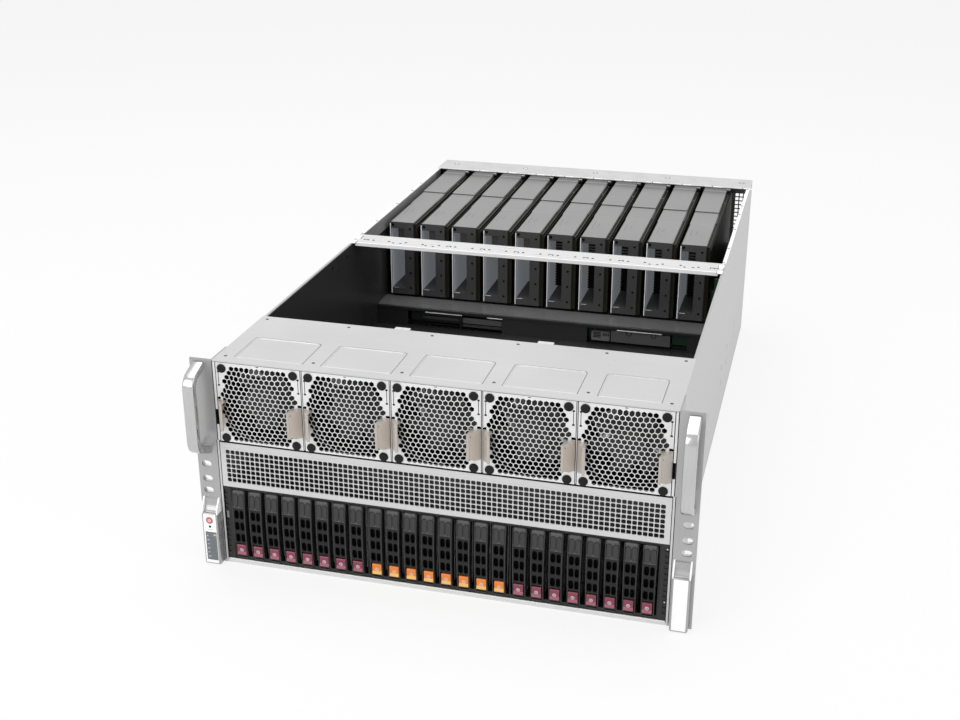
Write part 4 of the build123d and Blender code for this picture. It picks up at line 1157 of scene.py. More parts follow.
@dataclass
class Cards:
    """Ten accelerator cards on edge: split tops, open fronts, ridged side strips and fin stacks."""

    foot: float = 113.8
    top: float = 209.4
    front: float = 492.0
    seam: float = 634.5
    end: float = 776.0
    notch: float = 580.0

    def shroud(self, out: Surface) -> None:
        """Top in two lengths, side walls, floor and the front plate with its tall opening.

        Args:
            out: surface that gets it.
        """
        f, top = self.front, self.top
        slab(out, (1.0, f + 1.3, top - 1.6), (30.6, self.notch, top), CARD_TOP, 0.35)
        slab(out, (0.0, self.notch, top - 1.6), (30.6, self.seam - 1.6, top), CARD_TOP, 0.35)
        slab(out, (0.2, self.seam - 1.7, top - 1.6), (30.4, self.seam + 0.3, top + 0.3), CARD_STRIP, 0.1)
        slab(out, (0.0, self.seam, top - 1.6), (30.6, self.end, top + 1.5), CARD_TOP, 0.35)
        # Glowing plate under the flange edge: painted light over the flange's shadow.
        slab(out, (0.3, REAR - 49.0, top + 1.3), (30.3, REAR - 32.0, top + 1.6), CARD_TAIL_GLOW, 0.05)
        slab(out, (6.0, f + 36.0, top - 0.2), (7.2, f + 62.0, top + 0.05), CARD_MARK, 0.02)
        slab(out, (12.5, f + 44.0, top - 0.2), (13.5, f + 58.0, top + 0.05), CARD_MARK, 0.02)
        slab(out, (0.0, f + 1.2, self.foot), (1.1, self.end, top - 1.6), CARD_FRONT, 0.1)
        # Inner side lining in the glowing finish: painted light.
        slab(out, (1.1, f + 1.2, self.foot + 1.0), (1.5, self.end, top - 1.6), CARD_INNER_GLOW, 0.1)
        slab(out, (0.0, f + 1.2, self.foot), (30.4, self.end, self.foot + 1.0), CARD_FRONT, 0.1)
        slab(out, (1.5, f + 1.2, 121.5), (17.6, f + 66.0, 122.3), CARD_FRONT, 0.1)
        slab(out, (29.4, f + 1.2, self.foot), (30.4, self.end, top - 1.7), CARD_FRONT, 0.1)
        slab(out, (18.4, f + 1.2, self.foot + 1), (19.2, f + 58, top - 1.8), CARD_FRONT, 0.1)
        slab(out, (1.5, f + 1.2, top - 8.4), (18.4, f + 30, top - 7.6), CARD_FRONT, 0.1)
        window_plate(out, (0.0, 1.1, 18.4, 30.5),
                     (self.foot, 122.4, 200.9, top - 0.2), f, f + 1.2, CARD_FRONT)
        # Card front lip in the glowing white finish: painted highlight.
        slab(out, (-0.3, f - 0.4, self.foot + 0.4), (0.75, f + 1.4, top - 2.4), PURE_GLOW, 0.2)
        slab(out, (2.0, f - 0.15, 121.6), (9.5, f + 0.6, 122.2), BRIGHT, 0.1)
        slab(out, (2.0, f - 0.12, 203.6), (5.2, f + 0.4, 207.0), PIT, 0.1)
        slab(out, (9.5, f + 3.0, 186.0), (18.4, f + 26.0, 200.9), CARD_FRONT, 0.2)
        slab(out, (19.6, f - 0.1, 186.9), (29.0, f + 0.4, 188.4), PIT, 0.1)
        for z in (201.0, 162.7, 142.8, 122.7):
            disc(out, (25.8, f + 0.1, z), 1.4, 0.25, 1, PIT, -1, 12)
            turned(out, [(2.0, 0.05), (2.0, -0.16), (1.6, -0.2), (1.5, 0.0)], 1,
                   (25.8, f, z), CARD_FRONT, 14, False)

    def board(self, out: Surface) -> None:
        """Ridged strip of board edge and backplate beside the shroud, with its small screws.

        Args:
            out: surface that gets it.
        """
        f, top = self.front, self.top
        for low, high, drop in ((30.7, 31.8, 1.0), (32.2, 33.1, 2.0), (33.5, 34.7, 1.2)):
            slab(out, (low, f + 0.4, self.foot), (high, self.end, top - drop), CARD_STRIP, 0.2)
        slab(out, (31.8, f + 1.0, self.foot), (35.6, self.end, top - 5.0), CARD_STRIP, 0.3)
        slab(out, (32.6, f + 143, self.foot - 10.5), (34.2, f + 232, self.foot + 2), SHADED_GREEN, 0.1)
        for y in (f + 196.0, f + 236.0):
            disc(out, (32.7, y, top - 1.6), 0.8, 0.7, 2, STEEL, 1, 8)
        slab(out, (31.0, self.seam - 46.0, top - 2.0), (32.4, self.seam - 14.0, top - 0.2), CARD_FRONT, 0.2)

    def comb(self, out: Surface) -> None:
        """Dark comb of fins behind the upper right of the opening."""
        for z in np.arange(143.0, 202.0, 3.4):
            slab(out, (10.0, self.front + 2.0, z), (18.3, self.front + 30.0, z + 1.6), PIT, 0.2)

    def fins(self, out: Surface) -> None:
        """Level cooling fins deep inside, and an upright plate that crosses them.

        Args:
            out: surface that gets it.
        """
        for z in np.linspace(self.foot + 4, self.top - 8, 26):
            slab(out, (2.2, self.front + 66, z), (30.0, self.front + 262, z + 0.5), FINS, 0.08)
        slab(out, (24.0, self.front + 64, self.foot + 3), (26.0, self.front + 264, self.top - 5), FINS, 0.1)

    def build(self) -> None:
        """Make one card and place ten copies, in one piece each for the shrouds, boards and fins."""
        shroud, board, fins, comb = Surface(), Surface(), Surface(), Surface()
        self.shroud(shroud)
        self.comb(comb)
        self.board(board)
        self.fins(fins)
        rows = {"card_covers": (shroud, "card_metal", "card_shrouds"),
                "card_edges": (board, "card_metal", "card_boards"),
                "card_coolers": (fins, "fin_aluminium", "card_fins")}
        for name, (first, slot, node) in rows.items():
            whole = Surface()
            for index in range(10):
                whole.merge(first, (CARD_LEFT + CARD_PITCH * index, 0, 0))
                if first is shroud and index >= 5:
                    whole.merge(comb, (CARD_LEFT + CARD_PITCH * index, 0, 0))
            whole.piece(name, "chassis", slot, (node,))


@dataclass
class CrossBrace:
    """Bright brace over the bay: folded edges, corner tabs and its punched marks."""

    front: float = 376.0
    back: float = 408.4
    top: float = LID
    mark_y: float = 389.0
    dots: tuple = ((-174.7, 388.9), (-168.5, 385.0), (-159.5, 385.1), (-154.0, 389.4), (-132.7, 387.9),
                   (-128.2, 384.6), (-119.2, 384.3), (-113.3, 389.7), (129.3, 390.0), (135.1, 385.4),
                   (143.8, 385.6), (149.6, 389.3), (169.7, 390.1), (174.5, 385.3), (183.8, 385.7),
                   (189.7, 388.8), (-194.1, 389.0), (-93.4, 389.0), (210.7, 389.0))
    slots: tuple = (-202.9, -101.0, -60.2, -19.7, 21.0, 61.7, 102.3, 205.4)

    def build(self) -> None:
        """The level plate, its front and rear folds, the tabs at its ends, and the marks in three shapes."""
        out = Surface()
        slab(out, (-216.5, self.front, self.top - 1.2), (216.5, self.back, self.top), BRIGHT, 0.3)
        slab(out, (-212.5, self.front - 0.2, self.top - 4.2),
             # Front fold in the glowing white finish: painted highlight.
             (212.5, self.front + 1.2, self.top + 0.2), PURE_GLOW, 0.2)
        slab(out, (-208.0, self.back - 1.2, self.top - 4.2), (208.0, self.back, self.top - 1.2), BRIGHT, 0.2)
        for y in (self.front + 8.6, self.back - 4.0):
            slab(out, (-214.0, y, self.top - 0.1), (214.0, y + 0.5, self.top + 0.1), ZINC, 0.05)
        for side in (-1, 1):
            for y in (self.front - 4.0, self.front + 16.0):
                slab(out, (side * 211.5, y, self.top - 0.4),
                     (side * 217.6, y + 9.0, self.top + 0.8), PURE_GLOW, 0.3)
                slab(out, (side * 211.0, y - 0.6, self.top - 0.1),
                     (side * 211.5, y + 9.6, self.top + 0.3), PIT, 0.05)
        for x, y in self.dots:
            disc(out, (x, y, self.top - 0.05), 1.6, 0.1, 2, PIT, 1, 10)
        for x in self.slots:
            y = self.mark_y
            for low, high in (((x - 3.0, y - 1.9), (x - 1.8, y + 1.3)),
                              ((x + 1.8, y - 1.9), (x + 3.0, y + 1.3)),
                              ((x - 3.0, y + 0.4), (x + 3.0, y + 1.7))):
                slab(out, (*low, self.top - 0.1), (*high, self.top + 0.05), PIT, 0.02)
            if -80.0 < x < 120.0:
                for step in (-12.4, 8.0):
                    disc(out, (x + step, y, self.top - 0.05), 1.6, 0.1, 2, PIT, 1, 10)
        out.piece("bay_brace", "chassis", "bright_sheet", ("cross_brace",))


@dataclass
class Handles:
    """Two handles of flat bar, bent into a D."""

    centre_x: float = 232.3
    width: float = 11.4
    thick: float = 7.2

    def build(self) -> None:
        """Carry the bar's section along a rounded path from plate to plate."""
        out = Surface()
        corners = [(0.3, 210.8), (-22.4, 203.0), (-22.4, 132.8), (0.3, 122.0)]
        path = rounded_path(corners, 12.4, 14)
        for side in (-1, 1):
            swept_bar(out, path, self.width, self.thick, side * self.centre_x, HANDLE, 1.3)
        out.piece("front_handles", "chassis", "handle_aluminium", ("rack_handles",))


@dataclass
class EndBlocks:
    """The control block on the left ear and the plain one on the right."""

    centre_x: float = 230.0
    half: float = 8.4
    cheek: float = 1.3
    reach: float = 9.2
    face_top: float = 57.0
    slope_top: float = 70.5
    button_z: float = 49.7
    well: float = 3.6
    well_depth: float = 5.0
    bore: float = 2.95

    def shell(self, out: Surface, side: int) -> None:
        """Rounded body, two thin cheeks and the scooped slope between them.

        The body's section is a rounded rectangle of x and y carried up in levels that draw in at both ends.
        The scoop is a quarter of an ellipse, carried across the width.

        Args:
            out: surface that gets it.
            side: -1 on the left, 1 on the right.
        """
        x = side * self.centre_x
        turn = np.radians(np.linspace(180, 360, 15))
        bend = 1.7
        levels = ((0.6, 0.8), (0.9, 0.3), (1.7, 0.0), (self.face_top - 1.1, 0.0), (self.face_top - 0.3, 0.25),
                  (self.face_top, 0.8))
        rings = []
        for z, draw in levels:
            half, reach = self.half - draw, self.reach - draw
            across = np.where(np.cos(turn) < 0, -1, 1) * (half - bend) + bend * np.cos(turn)
            ahead = -reach + bend + bend * np.sin(turn)
            outline = np.vstack([np.stack([x + across, ahead], -1), [(x + half, 0.0), (x - half, 0.0)]])
            rings.append(np.column_stack([outline, np.full(len(outline), z)]))
        rings = np.array(rings)
        if side > 0:
            loft(out, rings, BLOCK, True)
        else:
            self.bored_body(out, rings, x)
        turn = np.linspace(0, math.pi / 2, 12)
        curve = np.stack([-1.0 - (self.reach - 1.4) * (1 - np.sin(turn)),
                          self.face_top - 0.6 + (self.slope_top - self.face_top - 0.4)
                          * (1 - np.cos(turn))], -1)
        scoop = np.vstack([curve, [(0.0, curve[-1, 1]), (0.0, self.face_top - 0.6)]])
        prism(out, scoop, 0, x - self.half + self.cheek, x + self.half - self.cheek, BLOCK)
        cheek = np.array([(-self.reach + 0.6, self.face_top - 1.0), (-self.reach + 1.0, self.face_top + 4.0),
                          (-1.6, self.slope_top + 0.6), (0.0, self.slope_top + 0.6),
                          (0.0, self.face_top - 1.0)])
        # The cheeks wear the glowing white finish as painted highlight.
        for low in (x - self.half, x + self.half - self.cheek):
            prism(out, cheek, 0, low, low + self.cheek, PURE_GLOW)

    def bored_body(self, out: Surface, rings: np.ndarray, x: float) -> None:
        """The body in three lengths, the middle one notched and faced with a bored plate for the button.

        Args:
            out: surface that gets it.
            rings: levels of the body's outline.
            x: its middle on X.
        """
        low, high = self.button_z - self.well, self.button_z + self.well
        front = -self.reach
        for part, join, z in ((rings[:3], 2, low), (rings[3:], 0, high)):
            cut = part[join].copy()
            cut[:, 2] = z
            loft(out, np.insert(part, join + 1 if join else 0, cut, 0), BLOCK, True)
        flat = rings[2][:, :2]
        notch = [(x - self.well, front), (x - self.well, front + self.well_depth),
                 (x + self.well, front + self.well_depth), (x + self.well, front)]
        prism(out, np.vstack([flat[:8], notch, flat[8:]]), 2, low, high, BLOCK)
        slot_cell(out, (x - self.well, low), (x + self.well, high), (x, self.button_z),
                  (self.bore, self.bore), front, front + self.well_depth, BLOCK, 2.0, 28)

    def label(self, out: Surface, side: int) -> None:
        """The inset white plate, left bare, bored where the button comes through.

        Args:
            out: surface that gets it.
            side: -1 on the left, 1 on the right.
        """
        # The label plate's glow is painted light.
        x = side * self.centre_x
        front, back = -self.reach - 0.25, -self.reach + 0.3
        left, right, foot, top = x - 6.5, x + 6.6, 2.3, 55.9
        if side > 0:
            slab(out, (left, front, foot), (right, back, top), LABEL_GLOW, 0.2)
            return
        low, high = self.button_z - self.well, self.button_z + self.well
        window_plate(out, (left, x - self.well, x + self.well, right),
                     (foot, low, high, top), front, back, LABEL_GLOW)
        slot_cell(out, (x - self.well, low), (x + self.well, high), (x, self.button_z),
                  (self.bore, self.bore), front, back, LABEL_GLOW, 2.0, 28)

    def controls(self, out: Surface) -> None:
        """Reset pinhole, status window, plain lamp marks and the lit lamp.

        Args:
            out: surface that gets it.
        """
        x, y = -self.centre_x, -self.reach - 0.25
        turned(out, [(3.9, 0.1), (3.9, -0.12), (3.1, -0.14), (2.95, 0.1)], 1,
               (x, y, self.button_z), BLOCK, 28, False)
        disc(out, (x, y + 0.02, 42.8), 1.3, 0.1, 1, PIT, -1, 14)
        slab(out, (x - 3.0, y - 0.05, 39.4), (x + 3.0, y + 0.2, 39.8), SCREEN, 0.02)
        slab(out, (x - 5.2, y - 0.12, 5.4), (x + 6.3, y + 0.2, 36.9), SCREEN, 0.12)
        for index in range(6):
            z = 32.2 - 4.6 * index
            shape = 1.3 if index % 2 else 0.9
            slab(out, (x - 4.0, y - 0.2, z - 0.45), (x - 4.0 + 2 * shape, y, z + 0.45), PANEL_MARK, 0.05)
            disc(out, (x - 3.4 + 1.2 * (index % 3), y - 0.12, z + 0.9), 0.35, 0.08, 1, PANEL_MARK, -1, 8)
        slab(out, (x + 3.2, y - 0.22, 33.0), (x + 5.8, y, 34.7), GREEN_LAMP, 0.1)

    def button(self) -> None:
        """The round red button with a pale broken ring and bar."""
        out = Surface()
        place = (-self.centre_x, -self.reach, self.button_z)
        profile = [(2.8, 3.2), (2.8, -0.55), (2.5, -0.8), (1.7, -0.72), (1.7, -0.5)]
        turned(out, profile, 1, place, RED, 28)
        turned(out, [(1.75, -0.5), (1.75, -0.7), (0.0, -0.7)], 1, place, PINK, 28, False)
        turn = np.radians(np.linspace(125, 415, 24))
        ray = np.stack([np.cos(turn), np.sin(turn)], -1)
        rings = [upright(ray * radius + (place[0], place[2]), place[1] - 0.8) for radius in (1.65, 1.3)]
        number = np.arange(2 * len(turn)).reshape(2, -1)
        quads = np.stack([number[0, :-1], number[0, 1:], number[1, 1:], number[1, :-1]], -1)
        # Ring and bar marks in the glowing white finish: painted light.
        out.add(np.vstack(rings), quads[:, ::-1].tolist(), LABEL_GLOW)
        slab(out, (place[0] - 0.18, place[1] - 0.82, place[2] + 0.3),
             (place[0] + 0.18, place[1] - 0.7, place[2] + 2.0), LABEL_GLOW, 0.03)
        out.piece("red_power_button", "power_button", "red_button", ("power_button",))

    def build(self) -> None:
        """Both blocks and the button."""
        left, right = Surface(), Surface()
        self.shell(left, -1)
        self.label(left, -1)
        self.controls(left)
        self.shell(right, 1)
        self.label(right, 1)
        left.piece("control_block", "chassis", "grey_plastic", ("control_housing",))
        right.piece("plain_block", "chassis", "grey_plastic", ("end_block",))
        self.button()


@dataclass
class CoverFastenings:
    """Screws and small dark marks on the cover, ears, side walls and rear flange, and pressed seams."""

    rear_row: tuple = (-210.6, -123.6, -37.3, 49.0, 135.3, 210.1)
    front_row: tuple = (-123.7, -37.3, 49.5, 135.5)
    end_row: tuple = (-210.0, 210.0)
    rear_flange: tuple = (-198.2, -97.1, 3.2, 104.5, 205.4, 205.7)
    slot_x: float = 232.55
    slot_rows: tuple = (78.1, 90.8, 106.675)

    def build(self) -> None:
        """Low round heads set at their measured places."""
        out = Surface()
        for row, y, radius in ((self.rear_row, 112.3, 1.7), (self.front_row, 17.6, 1.6),
                               (self.end_row, 13.0, 1.6)):
            head = [(radius, 0.0), (radius, 0.12), (radius - 0.6, 0.2), (0.0, 0.2)]
            for x in row:
                turned(out, head, 2, (x, y, LID), SCREW_DARK, 12)
        for x in self.rear_row:
            disc(out, (x + 11.0, 96.0, LID), 0.7, 0.06, 2, WALL)
        for index in range(5):
            left = -201.0 + FAN_PITCH * index
            right = min(left + 68.3, 201.5)
            for inset, bend, half, rise, finish in ((0.0, 5.0, 0.45, 0.1, SEAM),
                                                    (0.9, 4.2, 0.3, 0.16, BRIGHT)):
                low, high = 12.2 + inset, 64.0 - inset
                start, end = left + inset, right - inset
                seam = rounded_path([(start, low), (start, high), (end, high), (end, low)], bend, 8)
                ribbon(out, seam, half, LID - 0.4, LID + rise, finish)
            slab(out, (left + 1, 12.2, LID - 0.5), (right - 1, 12.9, LID + 0.12), BRIGHT, 0.1)
        for x in self.rear_flange:
            turned(out, [(3.5, 0.0), (3.5, 0.25), (2.7, 0.3), (2.6, 0.1)], 2,
                   (x, REAR - 19.0, LID), CARD_MARK, 24, False)
            # White discs in the glowing finish: painted highlight.
            disc(out, (x, REAR - 19.0, LID), 2.4, 0.2, 2, PURE_GLOW, 1, 18)
        for index in range(10):
            x = CARD_LEFT + CARD_PITCH * index + 34.0
            slab(out, (x - 3.5, REAR - 49.5, 211.5), (x + 2.4, REAR - 46.0, 215.7), CHIP, 0.4)
            slab(out, (x - 3.0, REAR - 49.9, 214.0), (x + 1.8, REAR - 49.3, 214.8), BRIGHT, 0.1)
            for start, end, drop in ((7.0, 17.0, 0.0), (18.5, 30.0, 0.8)):
                # White strips at the flange edge in the glowing finish: painted highlight.
                slab(out, (x + start, REAR - 47.9 - drop, 216.6), (x + end, REAR - 46.6, 217.4), PURE_GLOW, 0.15)
            slab(out, (x + 17.0, REAR - 47.6, 216.7), (x + 18.5, REAR - 46.0, 217.3), SCREW_DARK, 0.1)
        slab(out, (-HALF, REAR - 47.4, 216.6), (HALF, REAR - 46.6, 217.2), BRIGHT, 0.15)
        for side in (-1, 1):
            slab(out, (side * 214.2, 409.0, 215.9), (side * 218.2, REAR - 47.6, 217.25), PURE_GLOW, 0.3)
            for y in (410.9, 464.4, 544.0, 609.0, 648.7, 731.1):
                slab(out, (side * 214.6, y - 1.4, 217.1), (side * 217.4, y + 1.4, 217.35), SCREW_DARK, 0.1)
            for x, z in ((236.9, 205.0), (236.9, 12.0)):
                disc(out, (side * x, 0.0, z), 0.9, 0.1, 1, PIT, -1, 10)
            for y, z in ((12.0, 200.0), (12.0, 150.0), (24.0, 60.0), (24.0, 100.0)):
                disc(out, (side * 220.0, y, z), 1.6, 0.5, 0, STEEL, side, 12)
            for z in self.slot_rows:
                outer, inner = (capsule(height, width, (0.0, 0.0))[:, ::-1][::-1] + (side * self.slot_x, z)
                                for width, height in ((12.0, 8.8), (10.0, 6.8)))
                tube(out, outer, inner, 2.1, 5.2, BRIGHT)
        out.piece("case_fastenings", "chassis", "bright_sheet")


@dataclass
class InnerFittings:
    """What shows in the open bay: boards in the two openings, bright lips, tabs and a wall bracket."""

    wall: float = 457.0

    def build(self) -> None:
        """Boards, sheets, slots and lips behind and on the black wall."""
        out = Surface()
        wall, y = self.wall, self.wall + 9.0
        slab(out, (-174.0, y, 86.5), (-108.0, y + 1.6, 104.0), CHIP, 0.2)
        slab(out, (-160.0, y - 2.4, 99.0), (-108.0, y - 0.8, 106.0), SHADED_GREEN, 0.2)
        slab(out, (-158.0, y - 3.2, 94.5), (-110.0, y - 2.0, 98.2), CARD_FRONT, 0.3)
        for index in range(12):
            x = -154.6 + 8.4 * index
            slab(out, (x, wall + 2.0, 87.3), (x + 5.4, wall + 3.0, 88.6), PIT, 0.1)
        slab(out, (-107.5, wall - 0.4, 86.0), (-105.9, wall + 10, 104.5), CHIP, 0.2)
        slab(out, (-105.8, wall + 4.0, 93.7), (-54.6, wall + 5.2, 101.0), SHEET, 0.3)
        slab(out, (-105.8, wall + 4.2, 88.9), (-54.6, wall + 5.0, 92.4), CARD_FRONT, 0.3)
        slab(out, (52.2, y, 86.5), (58.0, y + 1.6, 103.0), SHADED_GREEN, 0.2)
        slab(out, (58.7, wall + 1.4, 88.9), (81.7, wall + 12.0, 100.6), CARD_MARK, 0.8)
        for index in range(4):
            slab(out, (61.0, wall + 1.0, 93.6 + 1.9 * index),
                 (70.5, wall + 1.8, 94.5 + 1.9 * index), PIT, 0.1)
            slab(out, (73.0 + 2.1 * index, wall + 1.0, 96.0),
                 (74.0 + 2.1 * index, wall + 1.8, 100.0), PIT, 0.1)
        slab(out, (82.4, wall + 4.0, 88.0), (154.8, wall + 5.2, 102.7), SHEET, 0.3)
        for x in (104.6, 134.5):
            turned(out, [(3.4, 0.0), (3.4, -0.15), (2.7, -0.15), (2.7, 0.0)], 1,
                   (x, wall + 3.95, 101.0), PIT, 24, False)
        slab(out, (156.3, y, 86.5), (175.6, y + 1.6, 102.5), SHADED_GREEN, 0.2)
        for start, end in ((-152.4, -104.8), (-72.3, -52.5), (90.6, 145.1)):
            slab(out, (start, wall - 1.4, 105.0), (end, wall + 0.2, 106.0), BRIGHT, 0.2)
        slab(out, (-216.0, wall + 1.6, 110.4), (216.0, wall + 36.0, 110.66), SHELF, 0.1)
        slab(out, (-216.0, wall - 1.2, 106.6), (216.0, wall + 1.4, 110.6), DARK, 0.5)
        for x in (-71.7, 73.4):
            slab(out, (x - 7.8, 119.0, 215.2), (x + 7.8, 127.5, 216.4), BRIGHT, 0.3)
            # Disc in the glowing inner finish: painted light.
            disc(out, (x, 123.6, 216.4), 2.0, 0.12, 2, CARD_INNER_GLOW, 1, 14)
        for y, z in ((309.0, 206.5), (326.7, 196.5), (357.5, 204.2)):
            disc(out, (-217.0, y, z), 1.8, 1.2, 0, STEEL, 1, 12)
        slab(out, (-216.4, 420.0, 198.0), (-215.2, REAR - 48.0, 214.6), RAIL, 0.2)
        slab(out, (-216.4, REAR - 64.0, 190.0), (-214.2, REAR - 48.0, 214.8), SHEET, 0.3)
        out.piece("bay_fittings", "chassis", "bright_sheet")


@dataclass
class Riser:
    """Small parts on the board edge beside the last card."""

    def build(self) -> None:
        """Chips and a connector on the upright board."""
        out = Surface()
        y = 496.0
        slab(out, (199.6, y + 0.4, 114.0), (216.6, y + 2.0, 168.0), GREEN_EDGE, 0.2)
        for index in range(4):
            slab(out, (200.0, y - 1.6, 118.0 + 9.0 * index), (206.0, y, 123.5 + 9.0 * index), CHIP, 0.3)
        # Connector in the glowing inner finish: painted light.
        slab(out, (207.5, y - 4.0, 118.0), (211.5, y, 148.0), CARD_INNER_GLOW, 0.4)
        out.piece("riser_parts", "chassis", "green_board")


@dataclass
class PowerSupplies:
    """Rear details of the four power supplies: vent guard, inlet and release tab."""

    count: int = 4
    pitch: float = 80.0
    width: float = 73.5
    first: float = -HALF + 7.2 + width / 2
    middle_z: float = 21.5

    def build(self) -> None:
        """Concentric wire rings, a recessed inlet with three pins, a coloured tab and a lamp."""
        for index in range(self.count):
            x = self.first + self.pitch * index
            out = Surface()
            vent = x - self.width / 2 + 20.0
            for radius in (4.0, 8.0, 12.0, 15.6):
                ring = [(radius - 0.5, 0.0), (radius - 0.35, 0.45), (radius + 0.35, 0.45),
                        (radius + 0.5, 0.0)]
                turned(out, ring[::-1], 1, (vent, REAR - 0.9, self.middle_z), STEEL, 32)
            slab(out, (vent - 15.6, REAR - 0.9, self.middle_z - 0.5),
                 (vent + 15.6, REAR - 0.3, self.middle_z + 0.5), STEEL)
            slab(out, (vent - 0.5, REAR - 0.9, self.middle_z - 15.6),
                 (vent + 0.5, REAR - 0.3, self.middle_z + 15.6), STEEL)
            inlet = x + self.width / 2 - 12.0
            slab(out, (inlet - 8.6, REAR - 1.9, self.middle_z - 11.6),
                 (inlet + 8.6, REAR - 0.2, self.middle_z + 11.6), CHIP, 0.5)
            for step in (-5.0, 0.0, 5.0):
                slab(out, (inlet + step - 0.9, REAR - 0.4, self.middle_z - 3.0 + abs(step) * 0.3),
                     (inlet + step + 0.9, REAR, self.middle_z + 3.0 + abs(step) * 0.3), STEEL, 0.1)
            disc(out, (inlet - 12.0, REAR, self.middle_z + 15.0), 1.3, 0.4, 1, GREEN_LAMP, 1, 12)
            slab(out, (inlet - 15.5, REAR, self.middle_z - 17.0),
                 (inlet - 9.5, REAR + 2.4, self.middle_z - 11.0), MAROON, 0.5)
            name = f"power_supply_{index + 1}"
            out.piece(f"supply_rear_{index + 1}", name, "bright_sheet")


def dress_cad_nodes() -> None:
    """Give each CAD node that stays in sight its finish, in its own material slot."""
    kept = {
        "base_pan": LIP, "side_walls": WALL, "rear_panel": FLANGE,
        "front_top_cover": COVER, "fan_bay_frame": ZINC,
        "drive_cage": CAGE, "rack_ears": EAR, "card_brackets": BRIGHT,
        "card_baseboard": SHADED_GREEN, "air_guide": DARK,
        "mainboard": SHADED_GREEN, "processor_coolers": FINS, "memory_modules": CHIP,
    }
    # The rotors wear the glowing rotor finish: painted light.
    kept.update({f"fan_rotor_{index}": ROTOR_GLOW for index in range(1, 6)})
    kept.update({f"power_supply_{index}": ZINC for index in range(1, 5)})
    for name, finish in kept.items():
        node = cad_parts[name]
        if not node.material_slots:
            node.data.materials.append(finish.material())
        for place in node.material_slots:
            place.material = finish.material()
        LOG.info("%s wears %s", name, finish.name)


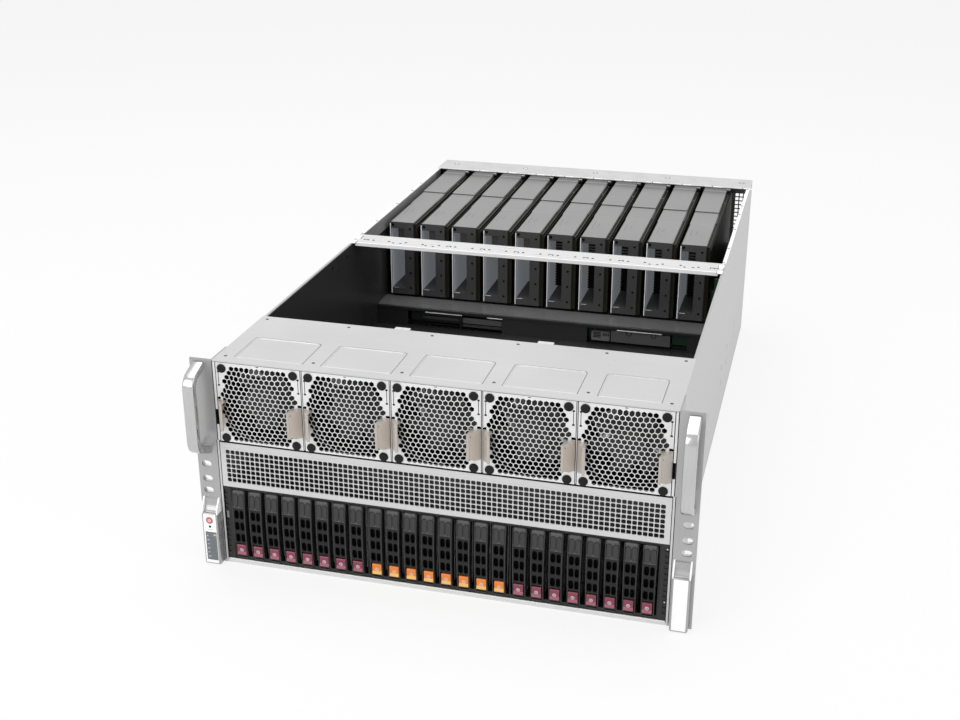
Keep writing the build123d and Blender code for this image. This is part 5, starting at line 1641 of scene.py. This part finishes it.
@dataclass
class Studio:
    """Pale floor, soft lamps, white surround and the camera."""

    focal_px: float = 1348.9787
    place: tuple = (325.6916, -1057.6551, 701.3669)
    turn: float = -0.2627
    tilt: float = -0.3948
    photo_width: float = 960.0
    sensor: float = 36.0
    fill: float = 0.55
    floor_glow: float = 0.8
    floor_half: float = 14.0
    lamps: list = field(default_factory=lambda: [
        ("overhead_softbox", (-0.3, 0.0, 2.6), (0.0, 0.0, 0.0), 2.4, 34.0),
        ("front_softbox", (-1.2, -2.6, 1.5), (0.0, 0.0, 0.1), 1.8, 26.0),
        ("right_softbox", (2.6, -0.8, 1.4), (0.0, 0.0, 0.1), 1.6, 12.0),
    ])

    def camera(self) -> None:
        """Place the camera found from the photo and give it the photo's lens."""
        data = bpy.data.cameras.new("photo_camera")
        data.sensor_width = self.sensor
        data.lens = self.focal_px / self.photo_width * self.sensor
        data.clip_end = 50.0
        made = bpy.data.objects.new("photo_camera", data)
        bpy.context.scene.collection.objects.link(made)
        x, y, z = self.place
        made.location = (x * METRES, (y + FRONT) * METRES, z * METRES)
        made.rotation_euler = (math.pi / 2 + self.tilt, 0.0, -self.turn)
        bpy.context.scene.camera = made

    def lights(self) -> None:
        """Square soft lamps, each turned to its aim."""
        for name, place, aim, size, power in self.lamps:
            data = bpy.data.lights.new(name, "AREA")
            data.size = size
            data.energy = power
            made = bpy.data.objects.new(name, data)
            bpy.context.scene.collection.objects.link(made)
            made.location = place
            made.rotation_euler = (Vector(aim) - Vector(place)).to_track_quat("-Z", "Y").to_euler()

    def world(self) -> None:
        """White to the camera and to gloss, and a calmer fill for the rest."""
        world = bpy.data.worlds.new("studio_surround")
        bpy.context.scene.world = world
        world.use_nodes = True
        tree = world.node_tree
        fill = tree.nodes["Background"]
        feed(tree, fill, {"Color": WHITE, "Strength": self.fill})
        seen = add_node(tree, "ShaderNodeBackground", {"Strength": 1.0})
        blank = add_node(tree, "ShaderNodeBackground", {"Color": WHITE, "Strength": 1.0})
        rays = add_node(tree, "ShaderNodeLightPath", {})
        mix = add_node(tree, "ShaderNodeMixShader", {
            "Fac": self.shown(tree, rays), 1: fill.outputs[0], 2: seen.outputs[0],
        })
        last = add_node(tree, "ShaderNodeMixShader", {
            "Fac": rays.outputs["Is Camera Ray"], 1: mix.outputs[0], 2: blank.outputs[0],
        })
        feed(tree, tree.nodes["World Output"], {"Surface": last.outputs[0]})

    @staticmethod
    def shown(tree: bpy.types.NodeTree, rays: bpy.types.Node) -> bpy.types.NodeSocket:
        """1 for rays that show the surround: from the camera, off gloss, or through glass.

        Args:
            tree: tree that gets the nodes.
            rays: its light path node.

        Returns:
            A socket that is 1 for those rays.
        """
        total = rays.outputs["Is Camera Ray"]
        for name in ("Is Glossy Ray", "Is Transmission Ray"):
            given = {0: total, 1: rays.outputs[name]}
            total = add_node(tree, "ShaderNodeMath", given, operation="ADD", use_clamp=True).outputs[0]
        return total

    def floor(self) -> None:
        """A wide pale floor that keeps a faint shadow."""
        mesh = bpy.data.meshes.new("studio_floor")
        size = self.floor_half
        mesh.from_pydata([(-size, -size, 0), (size, -size, 0), (size, size, 0), (-size, size, 0)], [],
                         [(0, 1, 2, 3)])
        made = bpy.data.objects.new("studio_floor", mesh)
        bpy.context.scene.collection.objects.link(made)
        material = bpy.data.materials.new("pale_floor")
        material.use_nodes = True
        tree = material.node_tree
        shader = tree.nodes["Principled BSDF"]
        feed(tree, shader, {"Base Color": (0.9, 0.9, 0.9, 1.0), "Roughness": 0.8})
        glow = add_node(tree, "ShaderNodeEmission", {"Strength": 1.0})
        rays = add_node(tree, "ShaderNodeLightPath", {})
        share = add_node(tree, "ShaderNodeMath",
                         {0: self.shown(tree, rays), 1: self.floor_glow}, operation="MULTIPLY")
        mix = add_node(tree, "ShaderNodeMixShader", {
            "Fac": share.outputs[0], 1: shader.outputs[0], 2: glow.outputs[0],
        })
        feed(tree, tree.nodes["Material Output"], {"Surface": mix.outputs[0]})
        mesh.materials.append(material)

    def build(self) -> None:
        """Everything round the object."""
        bpy.context.scene.view_settings.view_transform = "Standard"
        self.camera()
        self.lights()
        self.world()
        self.floor()


def main() -> None:
    """Build the studio and each sub-assembly in order, and log each one as it is done."""
    logging.basicConfig(level=logging.INFO, format="%(name)s: %(message)s")
    Studio().build()
    dress_cad_nodes()
    for assembly in (FanModules(), IntakePanel(), DriveCarriers(), BayTrim(), Cards(), CrossBrace(),
                     Handles(), EndBlocks(), CoverFastenings(), InnerFittings(), Riser(), PowerSupplies()):
        assembly.build()
        LOG.info("%s done", type(assembly).__name__)
    bpy.context.view_layer.update()


if __name__ == "__main__":
    main()
